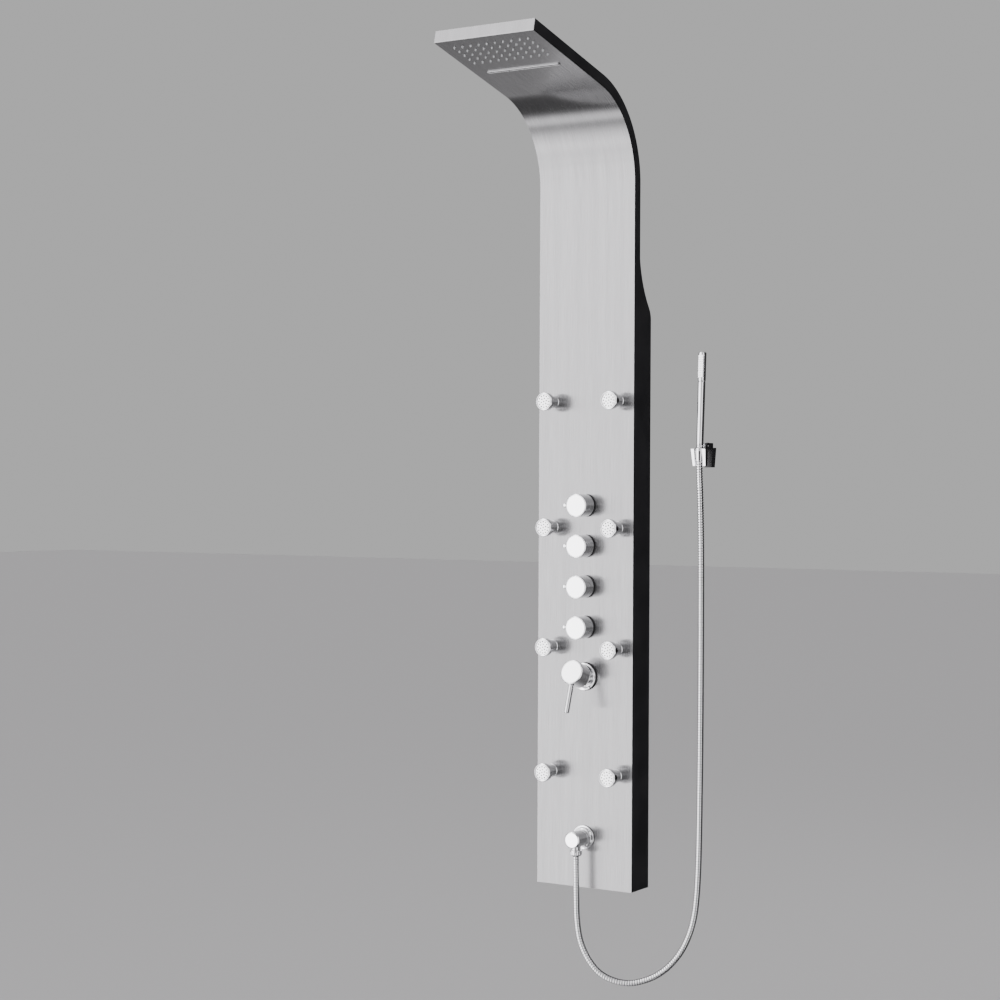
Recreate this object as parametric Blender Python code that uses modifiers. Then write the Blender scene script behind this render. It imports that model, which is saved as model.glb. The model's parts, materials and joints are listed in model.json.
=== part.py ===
"""Wall-hung rainfall shower column.

A brushed steel front sheet runs up the wall, bends forward into a rain head and ends in a lip. Dark side
plates, a back cover and an open-backed rear box stiffen it. Eight swivel jets, four diverter knobs, a
single-lever mixer and a hose outlet sit on the front; a hand shower rests in a separate wall holder.

Axes: +X to the user's right, +Y into the wall, +Z up. The wall is the plane Y = 0 and the origin is the
centre of the upper wall bracket's back. All lengths are in metres.
"""

import math

import bmesh
import bpy
from mathutils import Matrix, Vector

# ---------------------------------------------------------------- driving dimensions
WIDTH = 0.212  # front sheet
DEPTH = 0.070  # wall to front face
SLAB = 0.023  # thickness of the bent slab that forms neck and head
SHEET = 0.0015  # steel sheet
GAP = 0.0003  # between pieces that touch
STRAIGHT = 1.3675  # height of the flat front above the lower edge
MOUNT_HEIGHT = 1.020  # origin above the lower edge
BEND_RADIUS = 0.168  # front face at the neck
HEAD_RISE = math.radians(13.2)  # head above the horizontal
HEAD_LENGTH = 0.255  # straight part of the head

HALF = WIDTH / 2
BEND_ANGLE = math.pi / 2 - HEAD_RISE
FRONT = -DEPTH  # Y of the front face
SLAB_BACK = FRONT + SLAB
BEND_STEPS = 14


def up(height):
    """Z of a height above the panel's lower edge."""
    return height - MOUNT_HEIGHT


# rear box: its top flares from the slab to the wall in two arcs
BOX_TOP = 1.248
BOX_LAP = 0.030  # the back cover runs down behind the box's top edge
FLARE_ANGLE = math.radians(37)
FLARE_OUTER = 0.1954
FLARE_INNER = 0.038
BOX_INSET = 0.001
BACK_FLANGE = 0.015

# fittings on the front, heights above the lower edge
JET_HEIGHTS = (0.948, 0.702, 0.468, 0.223)
JET_OFFSET = 0.0724
KNOB_HEIGHTS = (0.7455, 0.6664, 0.5873, 0.5082)
MIXER_HEIGHT = 0.412
OUTLET_HEIGHT = 0.098
JET_REACH = 0.040
KNOB_REACH = 0.038
PIN_REACH = 0.0335  # from the knob's axis
OUTLET_REACH = 0.048
HOSE_REACH = 0.0305
MIXER_RADIUS = 0.0238
LEVER_RADIUS = 0.0050
LEVER_REACH = 0.0800  # from the mixer's ball

# mixer: the handle swings on a ball and is shown open
MIXER_PIVOT = Vector((0, FRONT - 0.0145, up(MIXER_HEIGHT)))
MIXER_LIFT = math.radians(18.6)

# rain head pattern, from the lip towards the neck
NOZZLE_ROWS = 5
NOZZLE_COLUMNS = 10
NOZZLE_PITCH = 0.0175
NOZZLE_START = 0.028
NOZZLE_HOLE = 0.0030
NUB_TIP = 0.0016
NUB_BASE = 0.0024
SLOT_CENTRE = 0.1425
SLOT_HALF = 0.0770
MOUTH_HALF = 0.0034  # half the waterfall mouth's width
MOUTH_WALL = 0.0020
MOUTH_ROOM = 0.0005  # between the mouth and the sheet

# hand shower and its wall holder
HOLDER_X = 0.236
HOLDER_HEIGHT = 0.8385
WAND_Y = -0.047
WAND_LEAN = math.radians(3)
TILT_PIVOT = Vector((HOLDER_X, -0.0260, up(0.8605)))
EAR_RADIUS = 0.0066
FORK_OUTER = 0.0083  # half widths across the fork
FORK_INNER = 0.0043
PIN_RADIUS = 0.0024
PIN_BORE = 0.0028

HOSE_RADIUS = 0.006
HOSE_STEP = 0.030  # between the tube's cross-sections
HOSE_ROUTE = (  # x, y, height above the panel's lower edge
    (0.0000, -0.1005, 0.0650),
    (0.0008, -0.1005, 0.0300),
    (0.0015, -0.1005, -0.0150),
    (0.0035, -0.1004, -0.0600),
    (0.0105, -0.0995, -0.0985),
    (0.0270, -0.0975, -0.1320),
    (0.0510, -0.0935, -0.1570),
    (0.0790, -0.0860, -0.1695),
    (0.1060, -0.0775, -0.1725),
    (0.1320, -0.0690, -0.1665),
    (0.1590, -0.0610, -0.1530),
    (0.1830, -0.0550, -0.1325),
    (0.2050, -0.0505, -0.1030),
    (0.2205, -0.0485, -0.0700),
    (0.2300, -0.0475, -0.0350),
    (0.2350, -0.0470, 0.0050),
    (0.2380, -0.0470, 0.0600),
    (0.2395, -0.0470, 0.1300),
    (0.2405, -0.0470, 0.2200),
    (0.2412, -0.0470, 0.3800),
    (0.2412, -0.0472, 0.5500),
    (0.2406, -0.0478, 0.6800),
    (0.2386, -0.0483, 0.7650),
    (0.2368, -0.0483, 0.8050),
    (0.2360, -0.0475, 0.8297),
)

# ---------------------------------------------------------------- materials: colour, roughness, metallic
FINISHES = {
    "brushed_steel": ((0.62, 0.62, 0.63), 0.32, 1.0),
    "charcoal_shell": ((0.045, 0.045, 0.05), 0.42, 0.3),
    "chrome": ((0.85, 0.86, 0.88), 0.08, 1.0),
    "spray_plate": ((0.78, 0.79, 0.80), 0.25, 0.6),
    "silicone": ((0.55, 0.56, 0.57), 0.60, 0.0),
    "brass": ((0.75, 0.56, 0.26), 0.35, 1.0),
    "zinc_steel": ((0.55, 0.56, 0.58), 0.45, 1.0),
    "hose_steel": ((0.70, 0.71, 0.72), 0.25, 1.0),
    "pipe_plastic": ((0.72, 0.74, 0.76), 0.50, 0.0),
}


def make_material(name):
    colour, roughness, metallic = FINISHES[name]
    material = bpy.data.materials.new(name)
    material.use_nodes = True
    shader = material.node_tree.nodes["Principled BSDF"]
    shader.inputs["Base Color"].default_value = (*colour, 1)
    shader.inputs["Roughness"].default_value = roughness
    shader.inputs["Metallic"].default_value = metallic
    material.diffuse_color = (*colour, 1)
    return material


# ---------------------------------------------------------------- scene and shape helpers
def clear_scene():
    for obj in list(bpy.data.objects):
        bpy.data.objects.remove(obj)


def new_collection(name, hidden=False):
    collection = bpy.data.collections.new(name)
    bpy.context.scene.collection.children.link(collection)
    collection.hide_render = hidden
    return collection


def add_mesh(name, build, matrix=None):
    """A new object whose mesh is filled by build(bm), moved into place by matrix."""
    mesh = bpy.data.meshes.new(name)
    bm = bmesh.new()
    build(bm)
    bmesh.ops.recalc_face_normals(bm, faces=bm.faces)
    bm.to_mesh(mesh)
    bm.free()
    obj = bpy.data.objects.new(name, mesh)
    if matrix is not None:
        obj.matrix_world = matrix
    PARTS.objects.link(obj)
    return obj


def add_box(name, low, high, matrix=None):
    size = [b - a for a, b in zip(low, high)]
    centre = [(a + b) / 2 for a, b in zip(low, high)]

    def build(bm):
        placed = Matrix.Translation(centre) @ Matrix.Diagonal((*size, 1))
        bmesh.ops.create_cube(bm, size=1, matrix=placed)

    return add_mesh(name, build, matrix)


def rod_matrix(start, end):
    """Local +Z from start to end, with the local origin half-way."""
    axis = Vector(end) - Vector(start)
    turn = axis.to_track_quat("Z", "Y").to_matrix().to_4x4()
    return Matrix.Translation((Vector(start) + Vector(end)) / 2) @ turn


def cone_into(bm, start, end, radius, end_radius, segments):
    length = (Vector(end) - Vector(start)).length
    bmesh.ops.create_cone(
        bm,
        cap_ends=True,
        segments=segments,
        radius1=radius,
        radius2=end_radius,
        depth=length,
        matrix=rod_matrix(start, end),
    )


def add_rod(name, start, end, radius, segments=16, end_radius=None, matrix=None):
    tip = radius if end_radius is None else end_radius
    return add_mesh(name, lambda bm: cone_into(bm, start, end, radius, tip, segments), matrix)


def add_rods(name, ends, radius, segments, matrix=None):
    """Several separate cylinders of one radius in one mesh, for use as a cutter."""

    def build(bm):
        for start, end in ends:
            cone_into(bm, start, end, radius, radius, segments)

    return add_mesh(name, build, matrix)


def add_turned(name, profile, matrix, steps=20):
    """A solid of revolution about local Z. The profile (radius, z) runs down its outer side from the axis."""
    mesh = bpy.data.meshes.new(name)
    points = [(radius, 0, z) for radius, z in profile]
    mesh.from_pydata(points, [(i, i + 1) for i in range(len(points) - 1)], [])
    obj = bpy.data.objects.new(name, mesh)
    obj.matrix_world = matrix
    PARTS.objects.link(obj)
    screw = obj.modifiers.new("turn", "SCREW")
    screw.steps = steps
    screw.render_steps = steps
    screw.use_merge_vertices = True
    screw.merge_threshold = 0.00001
    screw.use_smooth_shade = True
    return obj


def to_mesh_object(obj):
    """Replaces a curve, or an object with modifiers, by its welded mesh."""
    bpy.context.view_layer.update()
    graph = bpy.context.evaluated_depsgraph_get()
    mesh = bpy.data.meshes.new_from_object(obj.evaluated_get(graph))
    bm = bmesh.new()
    bm.from_mesh(mesh)
    bmesh.ops.remove_doubles(bm, verts=bm.verts, dist=0.00001)
    bmesh.ops.recalc_face_normals(bm, faces=bm.faces)
    bm.to_mesh(mesh)
    bm.free()
    name = obj.name
    matrix = obj.matrix_world.copy()
    bpy.data.objects.remove(obj)
    solid = bpy.data.objects.new(name, mesh)
    solid.matrix_world = matrix
    PARTS.objects.link(solid)
    return solid


SIDE_VIEW = Matrix(((0, 0, 1, 0), (1, 0, 0, 0), (0, 1, 0, 0), (0, 0, 0, 1)))


def add_plate(name, outline, low_x, high_x):
    """A flat outline of (y, z) points, extruded from low_x to high_x."""
    curve = bpy.data.curves.new(name, "CURVE")
    curve.dimensions = "2D"
    curve.fill_mode = "BOTH"
    curve.extrude = (high_x - low_x) / 2
    spline = curve.splines.new("POLY")
    spline.points.add(len(outline) - 1)
    for point, (y, z) in zip(spline.points, outline):
        point.co = (y, z, 0, 1)
    spline.use_cyclic_u = True
    obj = bpy.data.objects.new(name, curve)
    obj.matrix_world = Matrix.Translation(((low_x + high_x) / 2, 0, 0)) @ SIDE_VIEW
    PARTS.objects.link(obj)
    return to_mesh_object(obj)


def add_tube(name, points, radius, resolution=2):
    """A round tube through the points, with flat ends."""
    curve = bpy.data.curves.new(name, "CURVE")
    curve.dimensions = "3D"
    curve.bevel_depth = radius
    curve.bevel_resolution = resolution
    curve.use_fill_caps = True
    spline = curve.splines.new("POLY")
    spline.points.add(len(points) - 1)
    for point, place in zip(spline.points, points):
        point.co = (*place, 1)
    obj = bpy.data.objects.new(name, curve)
    PARTS.objects.link(obj)
    return obj


def use_tool(obj, tool, operation):
    """Cuts or joins obj with tool, which leaves the part collection."""
    for collection in list(tool.users_collection):
        collection.objects.unlink(tool)
    TOOLS.objects.link(tool)
    tool.hide_render = True
    tool.display_type = "WIRE"
    tool.name = f"{obj.name}.{operation.lower()}.{len(obj.modifiers)}"
    boolean = obj.modifiers.new(operation.lower(), "BOOLEAN")
    boolean.operation = operation
    boolean.solver = "EXACT"
    boolean.object = tool
    return obj


def cut(obj, tool):
    return use_tool(obj, tool, "DIFFERENCE")


def join(obj, tool):
    return use_tool(obj, tool, "UNION")


def dress(obj, material, smooth=True):
    """Gives the object its material and, on round pieces, smooth shading."""
    obj.data.materials.append(MATERIALS[material])
    if smooth and obj.type == "MESH":
        obj.data.shade_smooth()
        obj.data.set_sharp_from_angle(angle=math.radians(35))
    return obj


def smooth_line(route, step):
    """Points about a step apart on a centripetal Catmull-Rom curve through the route."""
    points = [Vector(p) for p in route]
    points = [2 * points[0] - points[1], *points, 2 * points[-1] - points[-2]]
    line = []
    for p0, p1, p2, p3 in zip(points, points[1:], points[2:], points[3:]):
        t1 = (p1 - p0).length ** 0.5
        t2 = t1 + (p2 - p1).length ** 0.5
        t3 = t2 + (p3 - p2).length ** 0.5
        pieces = max(1, round((p2 - p1).length / step))
        for k in range(pieces):
            t = t1 + (t2 - t1) * k / pieces
            a1 = p0 * (t1 - t) / t1 + p1 * t / t1
            a2 = p1 * (t2 - t) / (t2 - t1) + p2 * (t - t1) / (t2 - t1)
            a3 = p2 * (t3 - t) / (t3 - t2) + p3 * (t - t2) / (t3 - t2)
            b1 = a1 * (t2 - t) / t2 + a2 * t / t2
            b2 = a2 * (t3 - t) / (t3 - t1) + a3 * (t - t1) / (t3 - t1)
            line.append(b1 * (t2 - t) / (t2 - t1) + b2 * (t - t1) / (t2 - t1))
    return [*line, points[-2]]


# ---------------------------------------------------------------- frames of the panel
def facing_user(x, z, y=FRONT):
    """Local +Z points away from the wall, for a fitting turned about a horizontal axis."""
    return Matrix.Translation((x, y, z)) @ Matrix.Rotation(math.radians(90), 4, "X")


def slab_line(depth, start=0.0, trim=0.0):
    """The slab's side view at a depth behind its front face, from a start height to trim short of the lip."""
    centre_y = FRONT - BEND_RADIUS
    radius = BEND_RADIUS + depth
    line = [(FRONT + depth, up(start))]
    for step in range(BEND_STEPS + 1):
        angle = BEND_ANGLE * step / BEND_STEPS
        line.append((centre_y + radius * math.cos(angle), up(STRAIGHT) + radius * math.sin(angle)))
    reach = HEAD_LENGTH - trim
    end_y, end_z = line[-1]
    line.append((end_y - reach * math.cos(HEAD_RISE), end_z + reach * math.sin(HEAD_RISE)))
    return line


def head_frame():
    """Local X across the head, Y from the lip towards the neck along the underside, Z up through the slab."""
    lip_y, lip_z = slab_line(0)[-1]
    return Matrix.Translation((0, lip_y, lip_z)) @ Matrix.Rotation(-HEAD_RISE, 4, "X")


def flare_line(inward=0.0, steps=5):
    """The rear box's top, from the wall up to the slab, offset inward."""
    lower_z = up(BOX_TOP) - (FLARE_OUTER + FLARE_INNER) * math.sin(FLARE_ANGLE)
    line = []
    for step in range(steps + 1):
        angle = FLARE_ANGLE * step / steps
        radius = FLARE_INNER - inward
        line.append((-FLARE_INNER + radius * math.cos(angle), lower_z + radius * math.sin(angle)))
    for step in range(1, steps + 1):
        angle = FLARE_ANGLE * (1 - step / steps)
        radius = FLARE_OUTER + inward
        centre_y = SLAB_BACK + FLARE_OUTER
        line.append((centre_y - radius * math.cos(angle), up(BOX_TOP) - radius * math.sin(angle)))
    return line


def wand_frame():
    """Local +Z up the hand shower, local +Y towards the wall, origin in the holder's middle."""
    centre = Matrix.Translation((HOLDER_X, WAND_Y, up(HOLDER_HEIGHT)))
    return centre @ Matrix.Rotation(-WAND_LEAN, 4, "X")


# ---------------------------------------------------------------- casing
def nozzle_places():
    for row in range(NOZZLE_ROWS):
        for column in range(NOZZLE_COLUMNS):
            x = (column - (NOZZLE_COLUMNS - 1) / 2) * NOZZLE_PITCH
            yield x, NOZZLE_START + row * NOZZLE_PITCH


def jet_places():
    for row, height in enumerate(JET_HEIGHTS):
        for side, x in (("left", -JET_OFFSET), ("right", JET_OFFSET)):
            yield f"{side}_{row + 1}", x, up(height)


def front_panel():
    outside = slab_line(0)
    inside = slab_line(SHEET, trim=SHEET)
    lip_y, lip_z = outside[-1]
    top = (lip_y + SLAB * math.sin(HEAD_RISE), lip_z + SLAB * math.cos(HEAD_RISE))
    top_inside = (top[0] + SHEET * math.cos(HEAD_RISE), top[1] - SHEET * math.sin(HEAD_RISE))
    outline = [*outside, top, top_inside, *reversed(inside)]
    panel = add_plate("front_panel", outline, -HALF, HALF)
    near = FRONT - 0.005
    far = FRONT + 0.006
    jets = [((x, near, z), (x, far, z)) for _, x, z in jet_places()]
    cut(panel, add_rods("jet_holes", jets, 0.0100, 12))
    knobs = [((0, near, up(h)), (0, far, up(h))) for h in KNOB_HEIGHTS]
    cut(panel, add_rods("knob_holes", knobs, 0.0135, 16))
    z = up(MIXER_HEIGHT)
    cut(panel, add_rod("mixer_hole", (0, near, z), (0, far, z), 0.0170, 16))
    z = up(OUTLET_HEIGHT)
    cut(panel, add_rod("outlet_hole", (0, near, z), (0, far, z), 0.0105, 12))
    nozzles = [((x, along, -0.004), (x, along, 0.005)) for x, along in nozzle_places()]
    cut(panel, add_rods("nozzle_holes", nozzles, NOZZLE_HOLE, 6, head_frame()))
    slot_x = SLOT_HALF + MOUTH_WALL + MOUTH_ROOM
    slot_low = (-slot_x, SLOT_CENTRE - MOUTH_HALF - MOUTH_ROOM, -0.004)
    slot_high = (slot_x, SLOT_CENTRE + MOUTH_HALF + MOUTH_ROOM, 0.005)
    cut(panel, add_box("slot_hole", slot_low, slot_high, head_frame()))
    return dress(panel, "brushed_steel")


def side_plate(name, low_x):
    front = slab_line(SHEET + GAP, trim=SHEET + GAP)
    back = slab_line(SLAB, trim=SHEET + GAP)
    return dress(add_plate(name, [*front, *reversed(back)], low_x, low_x + SHEET), "charcoal_shell")


def back_cover():
    edge = HALF - SHEET - GAP
    start = BOX_TOP - BOX_LAP
    front = slab_line(SLAB - SHEET, start=start, trim=SHEET + GAP)
    back = slab_line(SLAB, start=start, trim=SHEET + GAP)
    return dress(add_plate("back_cover", [*front, *reversed(back)], -edge, edge), "charcoal_shell")


def rear_box():
    edge = HALF - BOX_INSET
    seam = SLAB_BACK + GAP
    flare = flare_line()
    outline = [(seam, up(0)), (0, up(0)), *flare[:-1], (seam, up(BOX_TOP) - 0.010)]
    box = add_plate("rear_box", outline, -edge, edge)
    inner = flare_line(SHEET)
    hollow = [(seam - 0.01, up(-0.01)), (-SHEET, up(-0.01)), *inner[:-1], (seam - 0.01, up(BOX_TOP) - 0.022)]
    cut(box, add_plate("rear_hollow", hollow, SHEET - edge, edge - SHEET))
    wall_end = flare[0][1] - BACK_FLANGE
    opening_low = (BACK_FLANGE - edge, -0.006, up(BACK_FLANGE))
    cut(box, add_box("rear_opening", opening_low, (edge - BACK_FLANGE, 0.006, wall_end)))
    return dress(box, "charcoal_shell")


def bottom_cap():
    edge = HALF - BOX_INSET - SHEET - GAP
    low = (-edge, FRONT + SHEET + GAP, up(0.0005))
    high = (edge, -SHEET - GAP, up(0.0005) + SHEET)
    return dress(add_box("bottom_cap", low, high), "charcoal_shell", smooth=False)


# ---------------------------------------------------------------- what hangs it on the wall
def wall_bracket(name, z):
    """A plate screwed to the wall, with a shelf and an upturned lip that carry the rail."""
    outline = [
        (0, z - 0.030),
        (0, z + 0.034),
        (-0.002, z + 0.034),
        (-0.002, z + 0.032),
        (-0.010, z + 0.032),
        (-0.010, z + 0.042),
        (-0.012, z + 0.042),
        (-0.012, z + 0.030),
        (-0.002, z + 0.030),
        (-0.002, z - 0.030),
    ]
    bracket = add_plate(name, outline, -0.075, 0.075)
    screws = [((x, -0.01, z), (x, 0.01, z)) for x in (-0.055, 0.055)]
    cut(bracket, add_rods("screw_holes", screws, 0.0032, 12))
    return dress(bracket, "zinc_steel", smooth=False)


def hang_rail(name, z):
    """The panel's cross-rail, whose turned-down edge drops behind the bracket's lip."""
    edge = HALF - BOX_INSET - SHEET - GAP
    outline = [
        (-0.022, z + 0.006),
        (-0.020, z + 0.006),
        (-0.020, z + 0.046),
        (-0.0085, z + 0.046),
        (-0.0085, z + 0.0323),
        (-0.0065, z + 0.0323),
        (-0.0065, z + 0.048),
        (-0.022, z + 0.048),
    ]
    return dress(add_plate(name, outline, -edge, edge), "zinc_steel", smooth=False)


# ---------------------------------------------------------------- rain head
def nozzle_mat():
    frame = head_frame()
    low = (-0.088, NOZZLE_START - 0.010, SHEET + GAP)
    high = (0.088, NOZZLE_START + (NOZZLE_ROWS - 1) * NOZZLE_PITCH + 0.010, 0.0045)
    mat = add_box("nozzle_mat", low, high, frame)

    def build(bm):
        for x, along in nozzle_places():
            cone_into(bm, (x, along, -0.0030), (x, along, 0.0030), NUB_TIP, NUB_BASE, 6)

    join(mat, add_mesh("nubs", build, frame))
    return dress(mat, "silicone", smooth=False)


def rain_chamber():
    """A shallow tray over the nozzle mat."""
    frame = head_frame()
    low = (-0.094, 0.0120, 0.0048)
    high = (0.094, 0.1140, 0.0190)
    tray = add_box("rain_chamber", low, high, frame)
    inner_low = (low[0] + 0.002, low[1] + 0.002, 0.0030)
    inner_high = (high[0] - 0.002, high[1] - 0.002, 0.0170)
    cut(tray, add_box("rain_hollow", inner_low, inner_high, frame))
    return dress(tray, "zinc_steel", smooth=False)


def waterfall_spout():
    """A flat box over the slot, with a mouth that stands a little below the head."""
    frame = head_frame()
    body_low = (-0.086, SLOT_CENTRE - 0.010, SHEET + GAP)
    body_high = (0.086, SLOT_CENTRE + 0.010, 0.0102)
    spout = add_box("waterfall_spout", body_low, body_high, frame)
    mouth_low = (-SLOT_HALF - MOUTH_WALL, SLOT_CENTRE - MOUTH_HALF, -0.0020)
    mouth_high = (SLOT_HALF + MOUTH_WALL, SLOT_CENTRE + MOUTH_HALF, 0.0050)
    join(spout, add_box("mouth", mouth_low, mouth_high, frame))
    slit = MOUTH_HALF - MOUTH_WALL
    slit_low = (-SLOT_HALF, SLOT_CENTRE - slit, -0.0060)
    slit_high = (SLOT_HALF, SLOT_CENTRE + slit, 0.0085)
    cut(spout, add_box("slit", slit_low, slit_high, frame))
    return dress(spout, "chrome", smooth=False)


# ---------------------------------------------------------------- swivel jets
def jet_collar(name, x, z):
    """The fixed neck, screwed through the sheet, with a cup for the ball."""
    profile = (
        (0, 0.0105),
        (0.0095, 0.0105),
        (0.0095, 0.0215),
        (0.0100, 0.0235),
        (0.0125, 0.0235),
        (0.0130, 0.0230),
        (0.0130, 0.0003),
        (0.0092, 0.0003),
        (0.0092, -0.0100),
        (0, -0.0100),
    )
    return dress(add_turned(f"jet_collar_{name}", profile, facing_user(x, z), 12), "chrome")


def jet_head(name, x, z):
    """The disc and the ball it swivels on; the origin is the ball's centre."""
    ball_y = FRONT - 0.0205
    front = JET_REACH - 0.0205
    ball = 0.0085
    steps = 4
    start = math.radians(50)
    sweep = [start + (math.pi - start) * k / steps for k in range(steps)]
    profile = (
        (0, front),
        (0.0165, front),
        (0.0180, front - 0.0015),
        (0.0180, front - 0.0100),
        (0.0170, front - 0.0110),
        *((ball * math.sin(a), ball * math.cos(a)) for a in sweep),
        (0, -ball),
    )
    return dress(add_turned(f"jet_head_{name}", profile, facing_user(x, z, ball_y), 16), "chrome")


# ---------------------------------------------------------------- diverters
def diverter_valve(number, z):
    """The brass neck that clamps the sheet to the manifold; the knob's stem turns in its bore."""
    profile = (
        (0, -0.0050),
        (0.0085, -0.0050),
        (0.0085, 0.0022),
        (0.0120, 0.0022),
        (0.0130, 0.0012),
        (0.0130, -0.0080),
        (0, -0.0080),
    )
    return dress(add_turned(f"diverter_valve_{number}", profile, facing_user(0, z), 14), "brass")


def knob(number, z):
    """A barrel with a stem behind and a short pin on its left."""
    profile = (
        (0, KNOB_REACH),
        (0.0205, KNOB_REACH),
        (0.0225, KNOB_REACH - 0.0020),
        (0.0225, 0.0040),
        (0.0215, 0.0030),
        (0.0080, 0.0030),
        (0.0080, -0.0045),
        (0, -0.0045),
    )
    barrel = add_turned(f"knob_{number}", profile, facing_user(0, z), 20)
    y = FRONT - 0.0270
    pin = add_rod("pin", (-0.0200, y, z), (-PIN_REACH, y, z), 0.0040, 10)
    join(barrel, pin)
    return dress(barrel, "chrome")


def manifold():
    """The brass column behind the knobs and the mixer, fed at the bottom and open to each valve."""
    low = (-0.0170, FRONT + 0.0083, up(0.4500))
    high = (0.0170, FRONT + 0.0360, up(0.7750))
    block = add_box("manifold", low, high)
    return dress(block, "brass", smooth=False)


# ---------------------------------------------------------------- mixer
def mixer_valve():
    """The cartridge body with hot and cold inlets at its sides and its neck through the sheet."""
    z = up(MIXER_HEIGHT)
    profile = (
        (0, 0.0002),
        (0.0160, 0.0002),
        (0.0160, -0.0070),
        (0.0225, -0.0070),
        (0.0225, -0.0400),
        (0, -0.0400),
    )
    body = add_turned("mixer_valve", profile, facing_user(0, z), 18)
    y = FRONT + 0.0240
    join(body, add_rod("inlets", (-0.0480, y, z), (0.0480, y, z), 0.0095, 12))
    return dress(body, "brass")


def mixer_flange():
    profile = (
        (0.0135, 0.0065),
        (0.0250, 0.0065),
        (0.0280, 0.0045),
        (0.0280, 0.0003),
        (0.0135, 0.0003),
        (0.0135, 0.0065),
    )
    return dress(add_turned("mixer_flange", profile, facing_user(0, up(MIXER_HEIGHT)), 24), "chrome")


def mixer_stem():
    """The cartridge's stem and ball, which turn left and right for temperature."""
    ball = 0.0160
    steps = 5
    limit = math.radians(130)
    sweep = [limit * k / steps for k in range(1, steps + 1)]
    profile = (
        (0, ball),
        *((ball * math.sin(a), ball * math.cos(a)) for a in sweep),
        (0.0122, -0.0138),
        (0, -0.0138),
    )
    matrix = facing_user(0, up(MIXER_HEIGHT), MIXER_PIVOT.y)
    return dress(add_turned("mixer_stem", profile, matrix, 16), "chrome")


def mixer_frame():
    """Local +Z along the lifted handle, origin on the ball; local +Y leans up."""
    return Matrix.Translation(MIXER_PIVOT) @ Matrix.Rotation(math.radians(90) - MIXER_LIFT, 4, "X")


def mixer_handle():
    profile = (
        (0, 0.0395),
        (MIXER_RADIUS - 0.0015, 0.0395),
        (MIXER_RADIUS, 0.0380),
        (MIXER_RADIUS, 0.0052),
        (MIXER_RADIUS - 0.0007, 0.0045),
        (0.0180, 0.0045),
        (0.0180, 0.0200),
        (0, 0.0200),
    )
    return dress(add_turned("mixer_handle", profile, mixer_frame(), 24), "chrome")


def mixer_lever():
    start = (0, -MIXER_RADIUS - GAP, 0.0310)
    rod = add_rod("mixer_lever", start, (0, -LEVER_REACH, 0.0310), LEVER_RADIUS, 12, matrix=mixer_frame())
    return dress(rod, "chrome")


# ---------------------------------------------------------------- hose outlet
def outlet_rosette():
    profile = (
        (0.0102, 0.0080),
        (0.0175, 0.0080),
        (0.0232, 0.0022),
        (0.0232, 0.0003),
        (0.0102, 0.0003),
        (0.0102, 0.0080),
    )
    return dress(add_turned("outlet_rosette", profile, facing_user(0, up(OUTLET_HEIGHT)), 22), "chrome")


def outlet_elbow():
    z = up(OUTLET_HEIGHT)
    profile = (
        (0, OUTLET_REACH),
        (0.0145, OUTLET_REACH),
        (0.0162, OUTLET_REACH - 0.0018),
        (0.0162, 0.0083),
        (0.0096, 0.0083),
        (0.0096, -0.0120),
        (0, -0.0120),
    )
    elbow = add_turned("outlet_elbow", profile, facing_user(0, z), 20)
    y = FRONT - HOSE_REACH
    join(elbow, add_rod("spigot", (0, y, z), (0, y, z - 0.0205), 0.0092, 14))
    return dress(elbow, "chrome")


def outlet_nut():
    y = FRONT - HOSE_REACH
    start = up(OUTLET_HEIGHT) - 0.0208
    profile = (
        (0, start),
        (0.0110, start),
        (0.0120, start - 0.0015),
        (0.0120, start - 0.0090),
        (0.0085, start - 0.0117),
        (0, start - 0.0117),
    )
    return dress(add_turned("outlet_nut", profile, Matrix.Translation((0, y, 0)), 16), "chrome")


# ---------------------------------------------------------------- hose and hand shower
def shower_hose():
    route = [(x, y, up(height)) for x, y, height in HOSE_ROUTE]
    tube = add_tube("shower_hose", smooth_line(route, HOSE_STEP), HOSE_RADIUS)
    return dress(tube, "hose_steel")


def hose_cone():
    """The conical nut on the hose, which seats in the holder."""
    profile = (
        (0, 0.0228),
        (0.0066, 0.0228),
        (0.0073, 0.0190),
        (0.0092, 0.0170),
        (0.0092, 0.0120),
        (0.0071, -0.0083),
        (0, -0.0083),
    )
    return dress(add_turned("hose_cone", profile, wand_frame(), 16), "chrome")


def wand_handle():
    profile = (
        (0, 0.1445),
        (0.0067, 0.1445),
        (0.0071, 0.1425),
        (0.0069, 0.0900),
        (0.0066, 0.0250),
        (0.0062, 0.0231),
        (0, 0.0231),
    )
    return dress(add_turned("wand_handle", profile, wand_frame(), 16), "chrome")


def wand_head():
    profile = (
        (0, 0.2005),
        (0.0064, 0.2005),
        (0.0074, 0.1992),
        (0.0074, 0.1465),
        (0.0070, 0.1448),
        (0, 0.1448),
    )
    head = add_turned("wand_head", profile, wand_frame(), 16)
    flat_low = (-0.0200, -0.0200, 0.1520)
    flat_high = (0.0200, -0.0045, 0.1950)
    cut(head, add_box("flat", flat_low, flat_high, wand_frame()))
    return dress(head, "chrome")


def wand_face():
    low = (-0.0052, -0.0068, 0.1524)
    high = (0.0052, -0.0048, 0.1946)
    return dress(add_box("wand_face", low, high, wand_frame()), "spray_plate", smooth=False)


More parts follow.
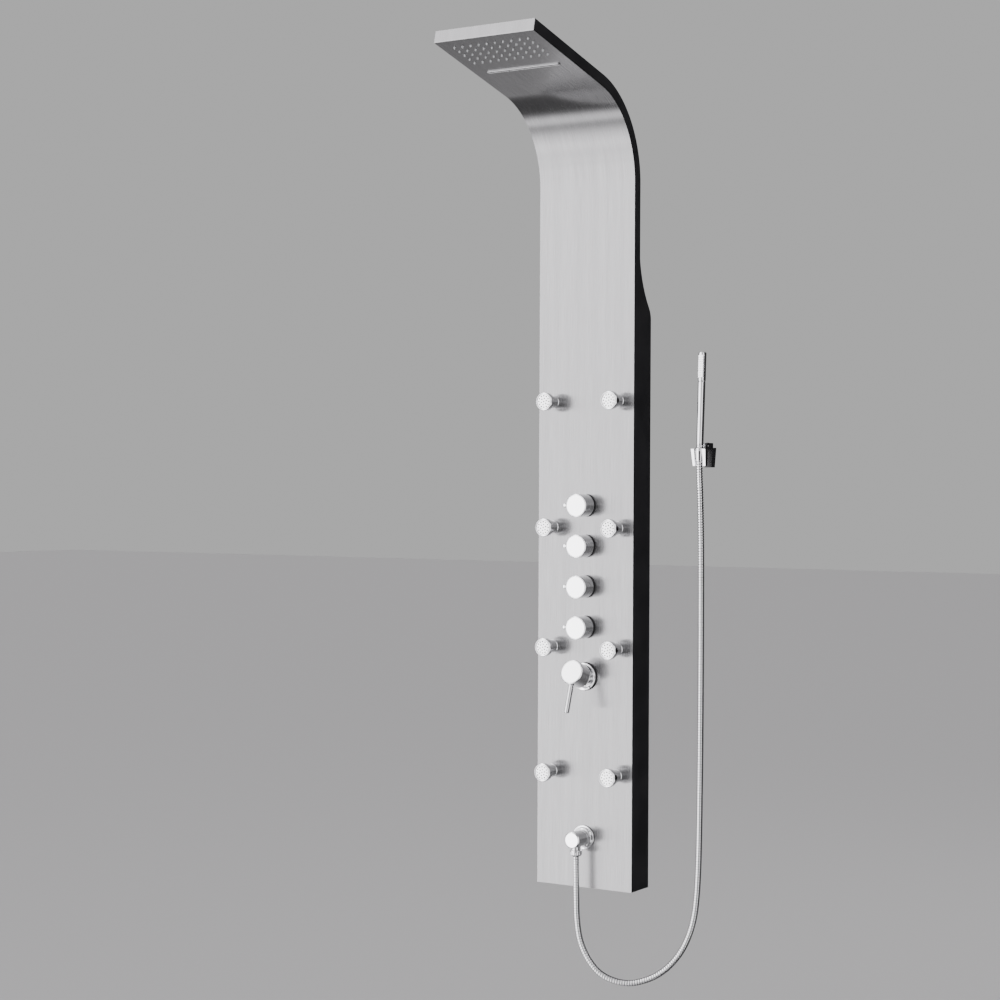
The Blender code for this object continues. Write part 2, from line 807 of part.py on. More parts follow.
def bracket_base():
    """The wall block, narrower below, and the fork that carries the tilting holder above it."""
    middle = up(HOLDER_HEIGHT)

    def build(bm):
        for z, half in ((middle - 0.0185, 0.0090), (middle + 0.0190, 0.0120)):
            for y, inset in ((0, 0), (-0.0120, 0.0015)):
                for side in (-1, 1):
                    bm.verts.new((HOLDER_X + side * (half - inset), y, z))
        bmesh.ops.convex_hull(bm, input=bm.verts)

    base = add_mesh("bracket_base", build)
    y = TILT_PIVOT.y
    z = TILT_PIVOT.z
    join(base, add_rod("fork", (HOLDER_X - FORK_OUTER, y, z), (HOLDER_X + FORK_OUTER, y, z), EAR_RADIUS, 16))
    yoke_low = (HOLDER_X - FORK_OUTER, y, z - EAR_RADIUS)
    yoke_high = (HOLDER_X + FORK_OUTER, -0.0060, z + 0.0060)
    join(base, add_box("yoke", yoke_low, yoke_high))
    gap_low = (HOLDER_X - FORK_INNER, -0.0400, z - 0.0200)
    gap_high = (HOLDER_X + FORK_INNER, y + 0.0078, z + 0.0200)
    cut(base, add_box("fork_gap", gap_low, gap_high))
    cut(base, add_rod("fork_bore", (HOLDER_X - 0.02, y, z), (HOLDER_X + 0.02, y, z), PIN_BORE, 12))
    return dress(base, "charcoal_shell", smooth=False)


def bracket_pin():
    y = TILT_PIVOT.y
    z = TILT_PIVOT.z
    start = (HOLDER_X - 0.0095, y, z)
    end = (HOLDER_X + 0.0095, y, z)
    return dress(add_rod("bracket_pin", start, end, PIN_RADIUS, 12), "chrome")


def bracket_cradle():
    """Two prongs that slope back below, round a tapered seat, on a lug that tilts in the fork."""
    frame = wand_frame()
    back = 0.0125

    def build(bm):
        for z, half, front in ((0.0158, 0.0150, -0.0080), (-0.0162, 0.0131, -0.0013)):
            for side in (-1, 1):
                for x, y in ((half, front), (half, 0.0060), (0.0085, back)):
                    bm.verts.new((side * x, y, z))
        bmesh.ops.convex_hull(bm, input=bm.verts)

    prongs = add_mesh("bracket_cradle", build, frame)
    pivot = frame.inverted() @ TILT_PIVOT
    lug = add_rod("lug", (-0.0040, pivot.y, pivot.z), (0.0040, pivot.y, pivot.z), 0.0060, 14, matrix=frame)
    join(prongs, lug)
    web_low = (-0.0036, back - 0.0010, 0.0100)
    web_high = (0.0036, pivot.y, pivot.z + 0.0050)
    join(prongs, add_box("web", web_low, web_high, frame))
    cut(prongs, add_box("mouth_slot", (-0.0086, -0.0300, -0.0300), (0.0086, 0.0005, 0.0300), frame))
    bore = ((0, 0.0200), (0.0104, 0.0200), (0.0078, -0.0200), (0, -0.0200))
    cut(prongs, add_turned("bore", bore, frame, 20))
    eye = ((-0.02, pivot.y, pivot.z), (0.02, pivot.y, pivot.z))
    cut(prongs, add_rod("pivot_bore", *eye, PIN_BORE, 12, matrix=frame))
    return dress(prongs, "chrome", smooth=False)


# ---------------------------------------------------------------- water ways behind the front
def riser(name, x, depth, trim, radius):
    """A supply pipe from the manifold up through the neck, at a depth in the slab, to trim short of the lip."""
    start_y = FRONT + 0.0180
    start = [(x, start_y, up(0.7753)), (x, start_y, up(0.8000)), (x, FRONT + depth, up(0.8700))]
    route = [(x, y, z) for y, z in slab_line(depth, start=0.9500, trim=trim)]
    return dress(add_tube(name, [*start, *route], radius, 1), "pipe_plastic")


def jet_pipe(name, side):
    """The pipe behind one column of jets, fed from the manifold."""
    y = FRONT + 0.0200
    x = side * JET_OFFSET
    pipe = add_rod(name, (x, y, up(0.2050)), (x, y, up(0.9660)), 0.0060, 10)
    feed = up(0.6300)
    join(pipe, add_rod("feed", (side * 0.0173, y, feed), (x, y, feed), 0.0055, 10))
    return dress(pipe, "pipe_plastic")


def inlet_hose(name, side):
    """A supply hose from the mixer's side port down to the panel's lower edge, where it meets the wall."""
    y = FRONT + 0.0240
    z = up(MIXER_HEIGHT)
    x = side * 0.0400
    route = (
        (x, y, z - 0.0098),
        (x, y, z - 0.0450),
        (side * 0.0440, y, z - 0.1000),
        (side * 0.0500, y, z - 0.1700),
        (side * 0.0520, y + 0.0020, z - 0.2250),
        (side * 0.0520, y + 0.0120, z - 0.2500),
        (side * 0.0520, -0.0200, z - 0.2600),
        (side * 0.0520, -0.0010, z - 0.2600),
    )
    return dress(add_tube(name, smooth_line(route, 0.018), 0.0060, 1), "hose_steel")


def build_column():
    front_panel()
    side_plate("side_plate_left", -HALF)
    side_plate("side_plate_right", HALF - SHEET)
    back_cover()
    rear_box()
    bottom_cap()
    for place, z in (("upper", 0.0), ("lower", -0.700)):
        wall_bracket(f"wall_bracket_{place}", z)
        hang_rail(f"hang_rail_{place}", z)
    nozzle_mat()
    rain_chamber()
    waterfall_spout()
    for name, x, z in jet_places():
        jet_collar(name, x, z)
        jet_head(name, x, z)
    manifold()
    for number, height in enumerate(KNOB_HEIGHTS, 1):
        diverter_valve(number, up(height))
        knob(number, up(height))
    mixer_valve()
    mixer_flange()
    mixer_stem()
    mixer_handle()
    mixer_lever()
    outlet_rosette()
    outlet_elbow()
    outlet_nut()
    shower_hose()
    hose_cone()
    wand_handle()
    wand_head()
    wand_face()
    bracket_base()
    bracket_pin()
    bracket_cradle()
    riser("riser_rain", -0.0100, 0.0155, 0.1143, 0.0045)
    riser("riser_waterfall", 0.0100, 0.0062, SLOT_CENTRE + 0.0103, 0.0040)
    jet_pipe("jet_pipe_left", -1)
    jet_pipe("jet_pipe_right", 1)
    inlet_hose("inlet_hose_hot", -1)
    inlet_hose("inlet_hose_cold", 1)


clear_scene()
PARTS = new_collection("rainfall_shower_column")
TOOLS = new_collection("cutters", hidden=True)
MATERIALS = {name: make_material(name) for name in FINISHES}
build_column()
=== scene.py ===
"""The finished look of the rainfall shower column.

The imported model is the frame. Each section below makes one group of pieces around it: the hose, the casing,
the rain head, the jets, the knobs, the mixer, the outlet, the hand shower and what lies behind the front.
Axes: +X to the user's right, +Y into the wall, +Z up. All lengths are in metres.
"""

import json
import math

import bmesh
import bpy
from mathutils import Matrix, Vector


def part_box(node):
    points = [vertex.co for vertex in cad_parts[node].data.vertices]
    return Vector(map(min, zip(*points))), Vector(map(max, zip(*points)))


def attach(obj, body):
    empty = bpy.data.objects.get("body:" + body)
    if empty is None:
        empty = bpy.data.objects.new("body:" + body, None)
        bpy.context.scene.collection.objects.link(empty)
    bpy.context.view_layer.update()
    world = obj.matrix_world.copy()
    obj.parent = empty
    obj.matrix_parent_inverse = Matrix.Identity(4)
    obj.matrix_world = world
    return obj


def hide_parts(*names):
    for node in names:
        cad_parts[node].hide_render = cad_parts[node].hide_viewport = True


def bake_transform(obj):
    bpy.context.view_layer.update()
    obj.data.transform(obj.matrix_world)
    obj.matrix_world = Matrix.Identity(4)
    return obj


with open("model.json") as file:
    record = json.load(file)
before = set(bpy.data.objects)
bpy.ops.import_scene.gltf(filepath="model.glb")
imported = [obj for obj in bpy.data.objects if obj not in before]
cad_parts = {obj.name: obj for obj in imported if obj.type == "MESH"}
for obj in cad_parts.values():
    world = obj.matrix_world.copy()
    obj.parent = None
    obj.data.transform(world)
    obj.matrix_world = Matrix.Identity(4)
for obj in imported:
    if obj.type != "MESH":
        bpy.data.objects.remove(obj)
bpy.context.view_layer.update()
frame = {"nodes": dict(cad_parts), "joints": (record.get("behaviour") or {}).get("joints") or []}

# ---- sizes that the frame gives
PANEL_LOW, PANEL_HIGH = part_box("front_panel")
HALF = PANEL_HIGH.x
LOWER_EDGE = PANEL_LOW.z
SHEET = 0.0015
FRONT = PANEL_HIGH.y - SHEET  # the flat front's face
JOINT_PLACE = {joint["child"]: Vector(joint["pos_m"]) for joint in frame["joints"] if "pos_m" in joint}
WAND_AXIS = next(Vector(joint["axis"]) for joint in frame["joints"] if joint["name"] == "handset_turn")

# ---- sizes of the casing
SLAB = 0.023
GAP = 0.0003
BEND_RADIUS = 0.168
HEAD_RISE = math.radians(13.2)
HEAD_LENGTH = 0.255
STRAIGHT = 1.3675
BEND_ANGLE = math.pi / 2 - HEAD_RISE
BEND_STEPS = 60
LIP_FOLD = 0.0020  # outer radius of the fold at the lip
SLAB_BACK = FRONT + SLAB
BOX_TOP = 1.248
BOX_LAP = 0.030
FLARE_ANGLE = math.radians(37)
FLARE_OUTER = 0.1954
FLARE_INNER = 0.038
BOX_INSET = 0.001
BACK_FLANGE = 0.015

# ---- sizes of the fittings
NOZZLE_ROWS = 5
NOZZLE_COLUMNS = 10
NOZZLE_PITCH = 0.0175
NOZZLE_START = 0.028
NOZZLE_HOLE = 0.0030
SLOT_CENTRE = 0.1425
SLOT_HALF = 0.0770
MAT_HALF = 0.088
MOUTH_BODY_HALF = 0.086
HEAD_MARGIN = 0.010  # the mat and the mouth's body beyond what they carry
CUT_LOW, CUT_HIGH = -0.004, 0.005  # cutters through the head's sheet
MOUTH_HALF = 0.0034  # half the waterfall mouth's width
MOUTH_WALL = 0.0020
MOUTH_ROOM = 0.0005  # between the mouth and the sheet
JET_OPENING = 0.0100  # radii of the holes in the front sheet
KNOB_OPENING = 0.0135
MIXER_OPENING = 0.0170
OUTLET_OPENING = 0.0105
JET_FACE = 0.0195  # the jet's face ahead of its ball's centre
JET_BALL = 0.0085
JET_BALL_START = math.radians(50)  # where the disc leaves off, from the ball's top
OUTER_NOZZLES = 12
INNER_NOZZLES = 6
GASKET_FOOT = 0.0004  # the gaskets' start ahead of the sheet
KNOBS = 4
KNOB_REACH = 0.038
PIN_REACH = 0.0335
PIN_DEPTH = 0.0270  # the pin's axis ahead of the sheet
MIXER_BALL = 0.0160
MIXER_BALL_END = math.radians(130)
MIXER_RADIUS = 0.0238
LEVER_DEPTH = 0.0310  # the lever's axis ahead of the ball
MIXER_LIFT = math.radians(18.6)
MIXER_HEIGHT = 0.412
OUTLET_HEIGHT = 0.098
OUTLET_REACH = 0.048
HOSE_REACH = 0.0305
EAR_RADIUS = 0.0066
FORK_OUTER = 0.0083  # half widths across the holder's fork
FORK_INNER = 0.0043
PIN_BORE = 0.0028
NUT_FLUTES = 12
FLUTE_DEPTH = 0.0006
HOSE_SIDES = 18
RIB_PITCH = 0.0050
RIB_SHAPE = ((0.0, 0.0049), (0.16, 0.0049), (0.24, 0.0056), (0.36, 0.0060), (0.80, 0.0060), (0.92, 0.0056))
TAIL_LENGTH = 0.048  # the hose that slides out with the hand shower
TAIL_SCALE = 0.86
HOSE_ROUTE = (  # x, y, height above the panel's lower edge
    (0.0000, -0.1005, 0.0650), (0.0008, -0.1005, 0.0300), (0.0015, -0.1005, -0.0150),
    (0.0035, -0.1004, -0.0600), (0.0105, -0.0995, -0.0985), (0.0270, -0.0975, -0.1320),
    (0.0510, -0.0935, -0.1570), (0.0790, -0.0860, -0.1695), (0.1060, -0.0775, -0.1725),
    (0.1320, -0.0690, -0.1665), (0.1590, -0.0610, -0.1530), (0.1830, -0.0550, -0.1325),
    (0.2050, -0.0505, -0.1030), (0.2205, -0.0485, -0.0700), (0.2300, -0.0475, -0.0350),
    (0.2350, -0.0470, 0.0050), (0.2380, -0.0470, 0.0600), (0.2395, -0.0470, 0.1300),
    (0.2405, -0.0470, 0.2200), (0.2412, -0.0470, 0.3800), (0.2412, -0.0472, 0.5500),
    (0.2406, -0.0478, 0.6800), (0.2386, -0.0483, 0.7650), (0.2368, -0.0483, 0.8050),
    (0.2360, -0.0475, 0.8297),
)

# ---- sizes behind the front
RISER_DEPTH = 0.0180  # depths behind the front's face
JET_PIPE_DEPTH = 0.0200
VALVE_DEPTH = 0.0240
JET_PIPE_RADIUS = 0.0060
FEED_RADIUS = 0.0055
FEED_HEIGHT = 0.6300
SUPPLY_X = 0.0520
SUPPLY_DROP = 0.2600  # the unions on the wall below the mixer


def up(height):
    """Z of a height above the panel's lower edge."""
    return LOWER_EDGE + height


# ---- outlines and lines
def rounded(corners, steps):
    """The corners (a, b) or (a, b, radius), each one with a radius turned into an arc."""
    line = []
    for i, corner in enumerate(corners):
        here = Vector(corner[:2])
        if len(corner) < 3:
            line.append(tuple(here))
            continue
        back = (Vector(corners[i - 1][:2]) - here).normalized()
        ahead = (Vector(corners[i + 1][:2]) - here).normalized()
        half = back.angle(ahead) / 2
        centre = here + (back + ahead).normalized() * (corner[2] / math.sin(half))
        first = here + back * (corner[2] / math.tan(half)) - centre
        final = here + ahead * (corner[2] / math.tan(half)) - centre
        sweep = first.angle(final)
        for k in range(steps + 1):
            t = k / steps
            spoke = first * math.sin((1 - t) * sweep) + final * math.sin(t * sweep)
            line.append(tuple(centre + spoke / math.sin(sweep)))
    return line


def arc(centre, radius, start, end, steps):
    """Points (a, b) on an arc from start to end, in radians."""
    angles = [start + (end - start) * k / steps for k in range(steps + 1)]
    return [(centre[0] + radius * math.cos(a), centre[1] + radius * math.sin(a)) for a in angles]


def smooth_line(route, step=0.004):
    """Points about a step apart on a centripetal Catmull-Rom curve through the route."""
    points = [Vector(p) for p in route]
    points = [2 * points[0] - points[1], *points, 2 * points[-1] - points[-2]]
    line = []
    for p0, p1, p2, p3 in zip(points, points[1:], points[2:], points[3:]):
        t1 = (p1 - p0).length ** 0.5
        t2 = t1 + (p2 - p1).length ** 0.5
        t3 = t2 + (p3 - p2).length ** 0.5
        pieces = max(1, round((p2 - p1).length / step))
        for k in range(pieces):
            t = t1 + (t2 - t1) * k / pieces
            a1 = p0 * (t1 - t) / t1 + p1 * t / t1
            a2 = p1 * (t2 - t) / (t2 - t1) + p2 * (t - t1) / (t2 - t1)
            a3 = p2 * (t3 - t) / (t3 - t2) + p3 * (t - t2) / (t3 - t2)
            b1 = a1 * (t2 - t) / t2 + a2 * t / t2
            b2 = a2 * (t3 - t) / (t3 - t1) + a3 * (t - t1) / (t3 - t1)
            line.append(b1 * (t2 - t) / (t2 - t1) + b2 * (t - t1) / (t2 - t1))
    return [*line, points[-2]]


def line_length(line):
    return sum((b - a).length for a, b in zip(line, line[1:]))


def slab_line(depth, start=0.0, trim=0.0, steps=BEND_STEPS):
    """The slab's side view (y, z) at a depth behind its front, from a height to trim short of the lip."""
    centre = (FRONT - BEND_RADIUS, up(STRAIGHT))
    bend = arc(centre, BEND_RADIUS + depth, 0, BEND_ANGLE, steps)
    end_y, end_z = bend[-1]
    reach = HEAD_LENGTH - trim
    tip = (end_y - reach * math.cos(HEAD_RISE), end_z + reach * math.sin(HEAD_RISE))
    return [(FRONT + depth, up(start)), *bend, tip]


def ball_line(radius, start, end, steps):
    """Points (radius, z) down a ball, between two angles from its top."""
    angles = [start + (end - start) * k / steps for k in range(steps + 1)]
    return [(radius * math.sin(a), radius * math.cos(a)) for a in angles]


def flare_line(inward=0.0, steps=16):
    """The rear box's top (y, z), from the wall up to the slab, offset inward."""
    low = up(BOX_TOP) - (FLARE_OUTER + FLARE_INNER) * math.sin(FLARE_ANGLE)
    heel = arc((-FLARE_INNER, low), FLARE_INNER - inward, 0, FLARE_ANGLE, steps)
    centre = (SLAB_BACK + FLARE_OUTER, up(BOX_TOP))
    sweep = arc(centre, FLARE_OUTER + inward, math.pi + FLARE_ANGLE, math.pi, steps)
    return [*heel, *sweep[1:]]


# ---- frames of the fittings
def facing_user(x, z, y=FRONT):
    """Local +Z points away from the wall and local +Y up."""
    return Matrix.Translation((x, y, z)) @ Matrix.Rotation(math.radians(90), 4, "X")


def head_frame():
    """Local X across the head, Y along the underside from the lip to the neck, Z up through the slab."""
    lip_y, lip_z = slab_line(0)[-1]
    return Matrix.Translation((0, lip_y, lip_z)) @ Matrix.Rotation(-HEAD_RISE, 4, "X")


def wand_frame():
    """Local +Z up the hand shower, local +Y towards the wall, origin in the middle of the holder."""
    lean = math.atan2(WAND_AXIS.y, WAND_AXIS.z)
    return Matrix.Translation(JOINT_PLACE["handset"]) @ Matrix.Rotation(-lean, 4, "X")


def mixer_frame():
    """Local +Z along the lifted handle, origin on the ball, local +Y leaning up."""
    turn = Matrix.Rotation(math.radians(90) - MIXER_LIFT, 4, "X")
    return Matrix.Translation(JOINT_PLACE["mixer_handle"]) @ turn


# ---- making pieces
WELD = 1e-6  # distances within which vertices are one
NODE_WELD = 0.00002


def new_piece(name, bm, material, matrix=None):
    """An object from the bmesh, welded and facing outward."""
    bmesh.ops.remove_doubles(bm, verts=bm.verts, dist=WELD)
    bmesh.ops.recalc_face_normals(bm, faces=bm.faces)
    mesh = bpy.data.meshes.new(name)
    bm.to_mesh(mesh)
    bm.free()
    mesh.materials.append(material)
    obj = bpy.data.objects.new(name, mesh)
    bpy.context.scene.collection.objects.link(obj)
    if matrix is not None:
        obj.matrix_world = matrix
    return obj


def shade(obj, angle=45):
    """Smooth shading that keeps corners and flat faces crisp."""
    obj.data.shade_smooth()
    obj.data.set_sharp_from_angle(angle=math.radians(angle))
    weighted = obj.modifiers.new("weighted normals", "WEIGHTED_NORMAL")
    weighted.keep_sharp = True
    return obj


def apply_modifiers(obj):
    bpy.context.view_layer.update()
    evaluated = obj.evaluated_get(bpy.context.evaluated_depsgraph_get())
    mesh = bpy.data.meshes.new_from_object(evaluated)
    obj.modifiers.clear()
    obj.data = mesh


def use_tools(obj, cutters=(), additions=()):
    """Joins the additions to obj and cuts the cutters from it."""
    for operation, tools in (("UNION", additions), ("DIFFERENCE", cutters)):
        for tool in tools:
            boolean = obj.modifiers.new(operation.lower(), "BOOLEAN")
            boolean.operation = operation
            boolean.solver = "EXACT"
            boolean.object = tool
    apply_modifiers(obj)
    for tool in [*cutters, *additions]:
        bpy.data.objects.remove(tool)


def round_edges(obj, width, segments=2, angle=30):
    """A modifier that rounds the edges sharper than the angle."""
    bevel = obj.modifiers.new("rounded edges", "BEVEL")
    bevel.width = width
    bevel.segments = segments
    bevel.limit_method = "ANGLE"
    bevel.angle_limit = math.radians(angle)


def soften(obj, width, segments=2, angle=30):
    round_edges(obj, width, segments, angle)
    apply_modifiers(obj)
    return shade(obj)


def box_piece(name, low, high, material, matrix=None):
    bm = bmesh.new()
    size = Vector(high) - Vector(low)
    centre = (Vector(high) + Vector(low)) / 2
    placed = Matrix.Translation(centre) @ Matrix.Diagonal((*size, 1))
    bmesh.ops.create_cube(bm, size=1, matrix=placed)
    return new_piece(name, bm, material, matrix)


def turned_to(axis):
    """The rotation that takes +Z to the axis."""
    return Vector(axis).to_track_quat("Z", "Y").to_matrix().to_4x4()


def rods_piece(name, ends, radius, material, segments, matrix=None):
    """Cylinders between pairs of points, in one mesh."""
    bm = bmesh.new()
    size = {"radius1": radius, "radius2": radius, "segments": segments, "cap_ends": True}
    for start, end in ends:
        axis = Vector(end) - Vector(start)
        placed = Matrix.Translation((Vector(start) + Vector(end)) / 2) @ turned_to(axis)
        bmesh.ops.create_cone(bm, depth=axis.length, matrix=placed, **size)
    return new_piece(name, bm, material, matrix)


def rod_across(name, centre, reach, radius, material, segments, matrix=None):
    """A cylinder that reaches as far to each side of the centre along X."""
    ends = [((centre.x - reach, centre.y, centre.z), (centre.x + reach, centre.y, centre.z))]
    return rods_piece(name, ends, radius, material, segments, matrix)


def hull_piece(name, points, material, matrix=None):
    bm = bmesh.new()
    for point in points:
        bm.verts.new(point)
    bmesh.ops.convex_hull(bm, input=bm.verts)
    return new_piece(name, bm, material, matrix)


def spin_into(bm, profile, steps, placed):
    """A solid of revolution about local Z from the profile (radius, z)."""
    rings = []
    for radius, z in profile:
        angles = [2 * math.pi * k / steps for k in range(steps if radius else 1)]
        points = [Vector((radius * math.cos(a), radius * math.sin(a), z)) for a in angles]
        rings.append([bm.verts.new(placed @ point) for point in points])
    for one, two in zip(rings, rings[1:]):
        for k in range(steps):
            after = (k + 1) % steps
            corners = [one[k % len(one)], one[after % len(one)], two[after % len(two)], two[k % len(two)]]
            unique = list(dict.fromkeys(corners))
            if len(unique) > 2:
                bm.faces.new(unique)


def turned(name, profile, material, matrix, steps, copies=(Matrix.Identity(4),)):
    """A turned piece, or one at each of the copies' local matrices."""
    bm = bmesh.new()
    for placed in copies:
        spin_into(bm, profile, steps, placed)
    return shade(new_piece(name, bm, material, matrix), 40)


def between_lines(name, front, back, low_x, high_x, material):
    """A solid in the y-z plane between two lines of equally many points, from low_x to high_x.
    Its UV map runs across the piece in U and along the lines in V, in metres."""
    bm = bmesh.new()
    uv = bm.loops.layers.uv.new("along")
    rows = []
    travelled = 0.0
    for i, (one, two) in enumerate(zip(front, back)):
        if i:
            travelled += (Vector(one) - Vector(front[i - 1])).length
        corners = ((low_x, *one), (high_x, *one), (high_x, *two), (low_x, *two))
        rows.append(([bm.verts.new(corner) for corner in corners], travelled))
    faces = []
    for (one, v1), (two, v2) in zip(rows, rows[1:]):
        for k in range(4):
            after = (k + 1) % 4
            faces.append((bm.faces.new((one[k], one[after], two[after], two[k])), (v1, v1, v2, v2)))
    for row, v in (rows[0], rows[-1]):
        faces.append((bm.faces.new(row), (v,) * 4))
    for face, along in faces:
        for loop, v in zip(face.loops, along):
            loop[uv].uv = (loop.vert.co.x, v)
    return new_piece(name, bm, material)


def extruded(name, ends, material, matrix=None):
    """A solid between two outlines of equally many points."""
    bm = bmesh.new()
    one, two = [[bm.verts.new(point) for point in end] for end in ends]
    bm.faces.new(one)
    bm.faces.new(two)
    for k in range(len(one)):
        after = (k + 1) % len(one)
        bm.faces.new((one[k], one[after], two[after], two[k]))
    return new_piece(name, bm, material, matrix)


def prism(name, outline, half_width, material):
    """The outline (y, z) as wide as the half width on each side of the middle."""
    return extruded(name, [[(x, y, z) for y, z in outline] for x in (-half_width, half_width)], material)


def tube_rings(line, radii, sides):
    """Rings of points round the line, carried along it without twist."""
    tangents = []
    for i in range(len(line)):
        tangents.append((line[min(i + 1, len(line) - 1)] - line[max(i - 1, 0)]).normalized())
    side = tangents[0].orthogonal().normalized()
    rings = []
    for centre, tangent, radius in zip(line, tangents, radii):
        side = (side - tangent * side.dot(tangent)).normalized()
        other = tangent.cross(side)
        angles = [2 * math.pi * k / sides for k in range(sides)]
        rings.append([centre + (side * math.cos(a) + other * math.sin(a)) * radius for a in angles])
    return rings


def tube_piece(name, line, radii, material, sides=20):
    """A tube through the line, with a radius at each point and flat ends."""
    bm = bmesh.new()
    rings = [[bm.verts.new(p) for p in ring] for ring in tube_rings(line, radii, sides)]
    for one, two in zip(rings, rings[1:]):
        for k in range(sides):
            after = (k + 1) % sides
            bm.faces.new((one[k], one[after], two[after], two[k]))
    bm.faces.new(rings[0])
    bm.faces.new(rings[-1])
    return shade(new_piece(name, bm, material), 60)


def place(obj, body, slot, *nodes):
    """obj rides on the body and stands for the nodes, which are hidden. The slot is not used."""
    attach(obj, body)
    if nodes:
        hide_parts(*nodes)
    return obj


def fitting(name, corners, arc_steps, material, matrix, steps, body, slot, *nodes):
    """A turned piece in its place, from corners (radius, z) or (radius, z, rounding)."""
    return place(turned(name, rounded(corners, arc_steps), material, matrix, steps), body, slot, *nodes)


# ---- materials
def plain_material(name, colour, roughness, metallic):
    material = bpy.data.materials.new(name)
    material.use_nodes = True
    shader = material.node_tree.nodes["Principled BSDF"]
    shader.inputs["Base Color"].default_value = (*colour, 1)
    shader.inputs["Roughness"].default_value = roughness
    shader.inputs["Metallic"].default_value = metallic
    material.diffuse_color = (*colour, 1)
    return material, material.node_tree, shader


def add_node(tree, kind, inputs=(), **settings):
    """A shader node. Each of its inputs, by name or number, takes a value or another node's socket."""
    node = tree.nodes.new("ShaderNode" + kind)
    for name, value in settings.items():
        setattr(node, name, value)
    for key, value in dict(inputs).items():
        if isinstance(value, bpy.types.NodeSocket):
            tree.links.new(value, node.inputs[key])
        else:
            node.inputs[key].default_value = value
    return node


def noise(tree, scale, detail, uv=None):
    """Noise with about scale features a metre along each axis of the object, or of a UV map."""
    if uv:
        source = add_node(tree, "UVMap", uv_map=uv).outputs["UV"]
    else:
        source = add_node(tree, "TexCoord").outputs["Object"]
    stretched = add_node(tree, "Mapping", {"Vector": source, "Scale": scale}).outputs["Vector"]
    return add_node(tree, "TexNoise", {"Vector": stretched, "Scale": 1.0, "Detail": detail}).outputs["Fac"]


def spread_range(tree, value, low, high):
    """The value, mostly between 0.3 and 0.7, spread from low to high."""
    limits = {"From Min": 0.3, "From Max": 0.7, "To Min": low, "To Max": high}
    return add_node(tree, "MapRange", {"Value": value, **limits}).outputs["Result"]


def tint(tree, value, dark, light):
    """A colour between dark and light."""
    inputs = {0: spread_range(tree, value, 0.0, 1.0), 6: (*dark, 1), 7: (*light, 1)}
    return add_node(tree, "Mix", inputs, data_type="RGBA").outputs[2]


def add_bump(tree, shader, height, distance, strength):
    bump = add_node(tree, "Bump", {"Height": height, "Distance": distance, "Strength": strength})
    tree.links.new(bump.outputs["Normal"], shader.inputs["Normal"])


def brushed_sheet():
    """Stainless sheet whose grain runs along the piece; U is across the grain."""
    material, tree, shader = plain_material("brushed_sheet", (0.31, 0.31, 0.313), 0.25, 1.0)
    shader.inputs["Anisotropic"].default_value = 0.90
    tangent = add_node(tree, "Tangent", direction_type="UV_MAP", uv_map="along")
    tree.links.new(tangent.outputs["Tangent"], shader.inputs["Tangent"])
    fine = noise(tree, (2600, 14, 1), 4, "along")
    broad = noise(tree, (60, 1.2, 1), 3, "along")
    tone = tint(tree, broad, (0.295, 0.295, 0.298), (0.325, 0.325, 0.328))
    tree.links.new(tone, shader.inputs["Base Color"])
    tree.links.new(spread_range(tree, fine, 0.20, 0.30), shader.inputs["Roughness"])
    add_bump(tree, shader, fine, 0.00002, 0.12)
    return material


def patterned(
    name, colour, roughness, metallic, pattern, tones, sheen, relief=None, grain=None, specular=0.5
):
    """A material whose noise pattern (scale, detail) moves the colour between two tones and the roughness
    between two values. The relief (distance, strength) follows the grain, or else the pattern."""
    material, tree, shader = plain_material(name, colour, roughness, metallic)
    shader.inputs["Specular IOR Level"].default_value = specular
    value = noise(tree, *pattern)
    tree.links.new(tint(tree, value, *tones), shader.inputs["Base Color"])
    tree.links.new(spread_range(tree, value, *sheen), shader.inputs["Roughness"])
    if relief:
        add_bump(tree, shader, noise(tree, *grain) if grain else value, *relief)
    return material


def soft_rubber(name, colour, roughness):
    """Silicone or rubber with a dull, slightly uneven skin."""
    tones = ([c * 0.86 for c in colour], [min(1.0, c * 1.10) for c in colour])
    sheen = (roughness - 0.06, roughness + 0.06)
    return patterned(name, colour, roughness, 0.0, ((400, 400, 400), 3), tones, sheen, (0.00005, 0.3))


STEEL = brushed_sheet()
COAT = patterned(  # satin, with a fine orange peel
    "charcoal_powder_coat",
    (0.024, 0.024, 0.026), 0.42, 0.0,
    pattern=((18, 18, 18), 4),
    tones=((0.020, 0.020, 0.022), (0.029, 0.029, 0.031)),
    sheen=(0.36, 0.48),
    relief=(0.0001, 0.25),
    grain=((900, 900, 900), 2),
    specular=0.35,
)
CHROME = patterned(  # with faint wiping marks
    "polished_chrome",
    (0.88, 0.885, 0.895), 0.06, 1.0,
    pattern=((55, 90, 40), 5),
    tones=((0.85, 0.855, 0.865), (0.91, 0.915, 0.925)),
    sheen=(0.035, 0.11),
    relief=(0.00002, 0.15),
    grain=((300, 300, 300), 2),
)
SATIN = patterned(  # the finely turned ends of knobs and handle
    "satin_chrome",
    (0.90, 0.905, 0.91), 0.14, 1.0,
    pattern=((900, 900, 900), 3),
    tones=((0.87, 0.875, 0.88), (0.93, 0.935, 0.94)),
    sheen=(0.10, 0.18),
    relief=(0.00003, 0.25),
)
BLASTED = patterned(  # bead-blasted steel of the waterfall's mouth
    "satin_steel",
    (0.50, 0.50, 0.505), 0.28, 1.0,
    pattern=((1200, 1200, 1200), 3),
    tones=((0.46, 0.46, 0.465), (0.54, 0.54, 0.545)),
    sheen=(0.22, 0.34),
    relief=(0.00003, 0.2),
)
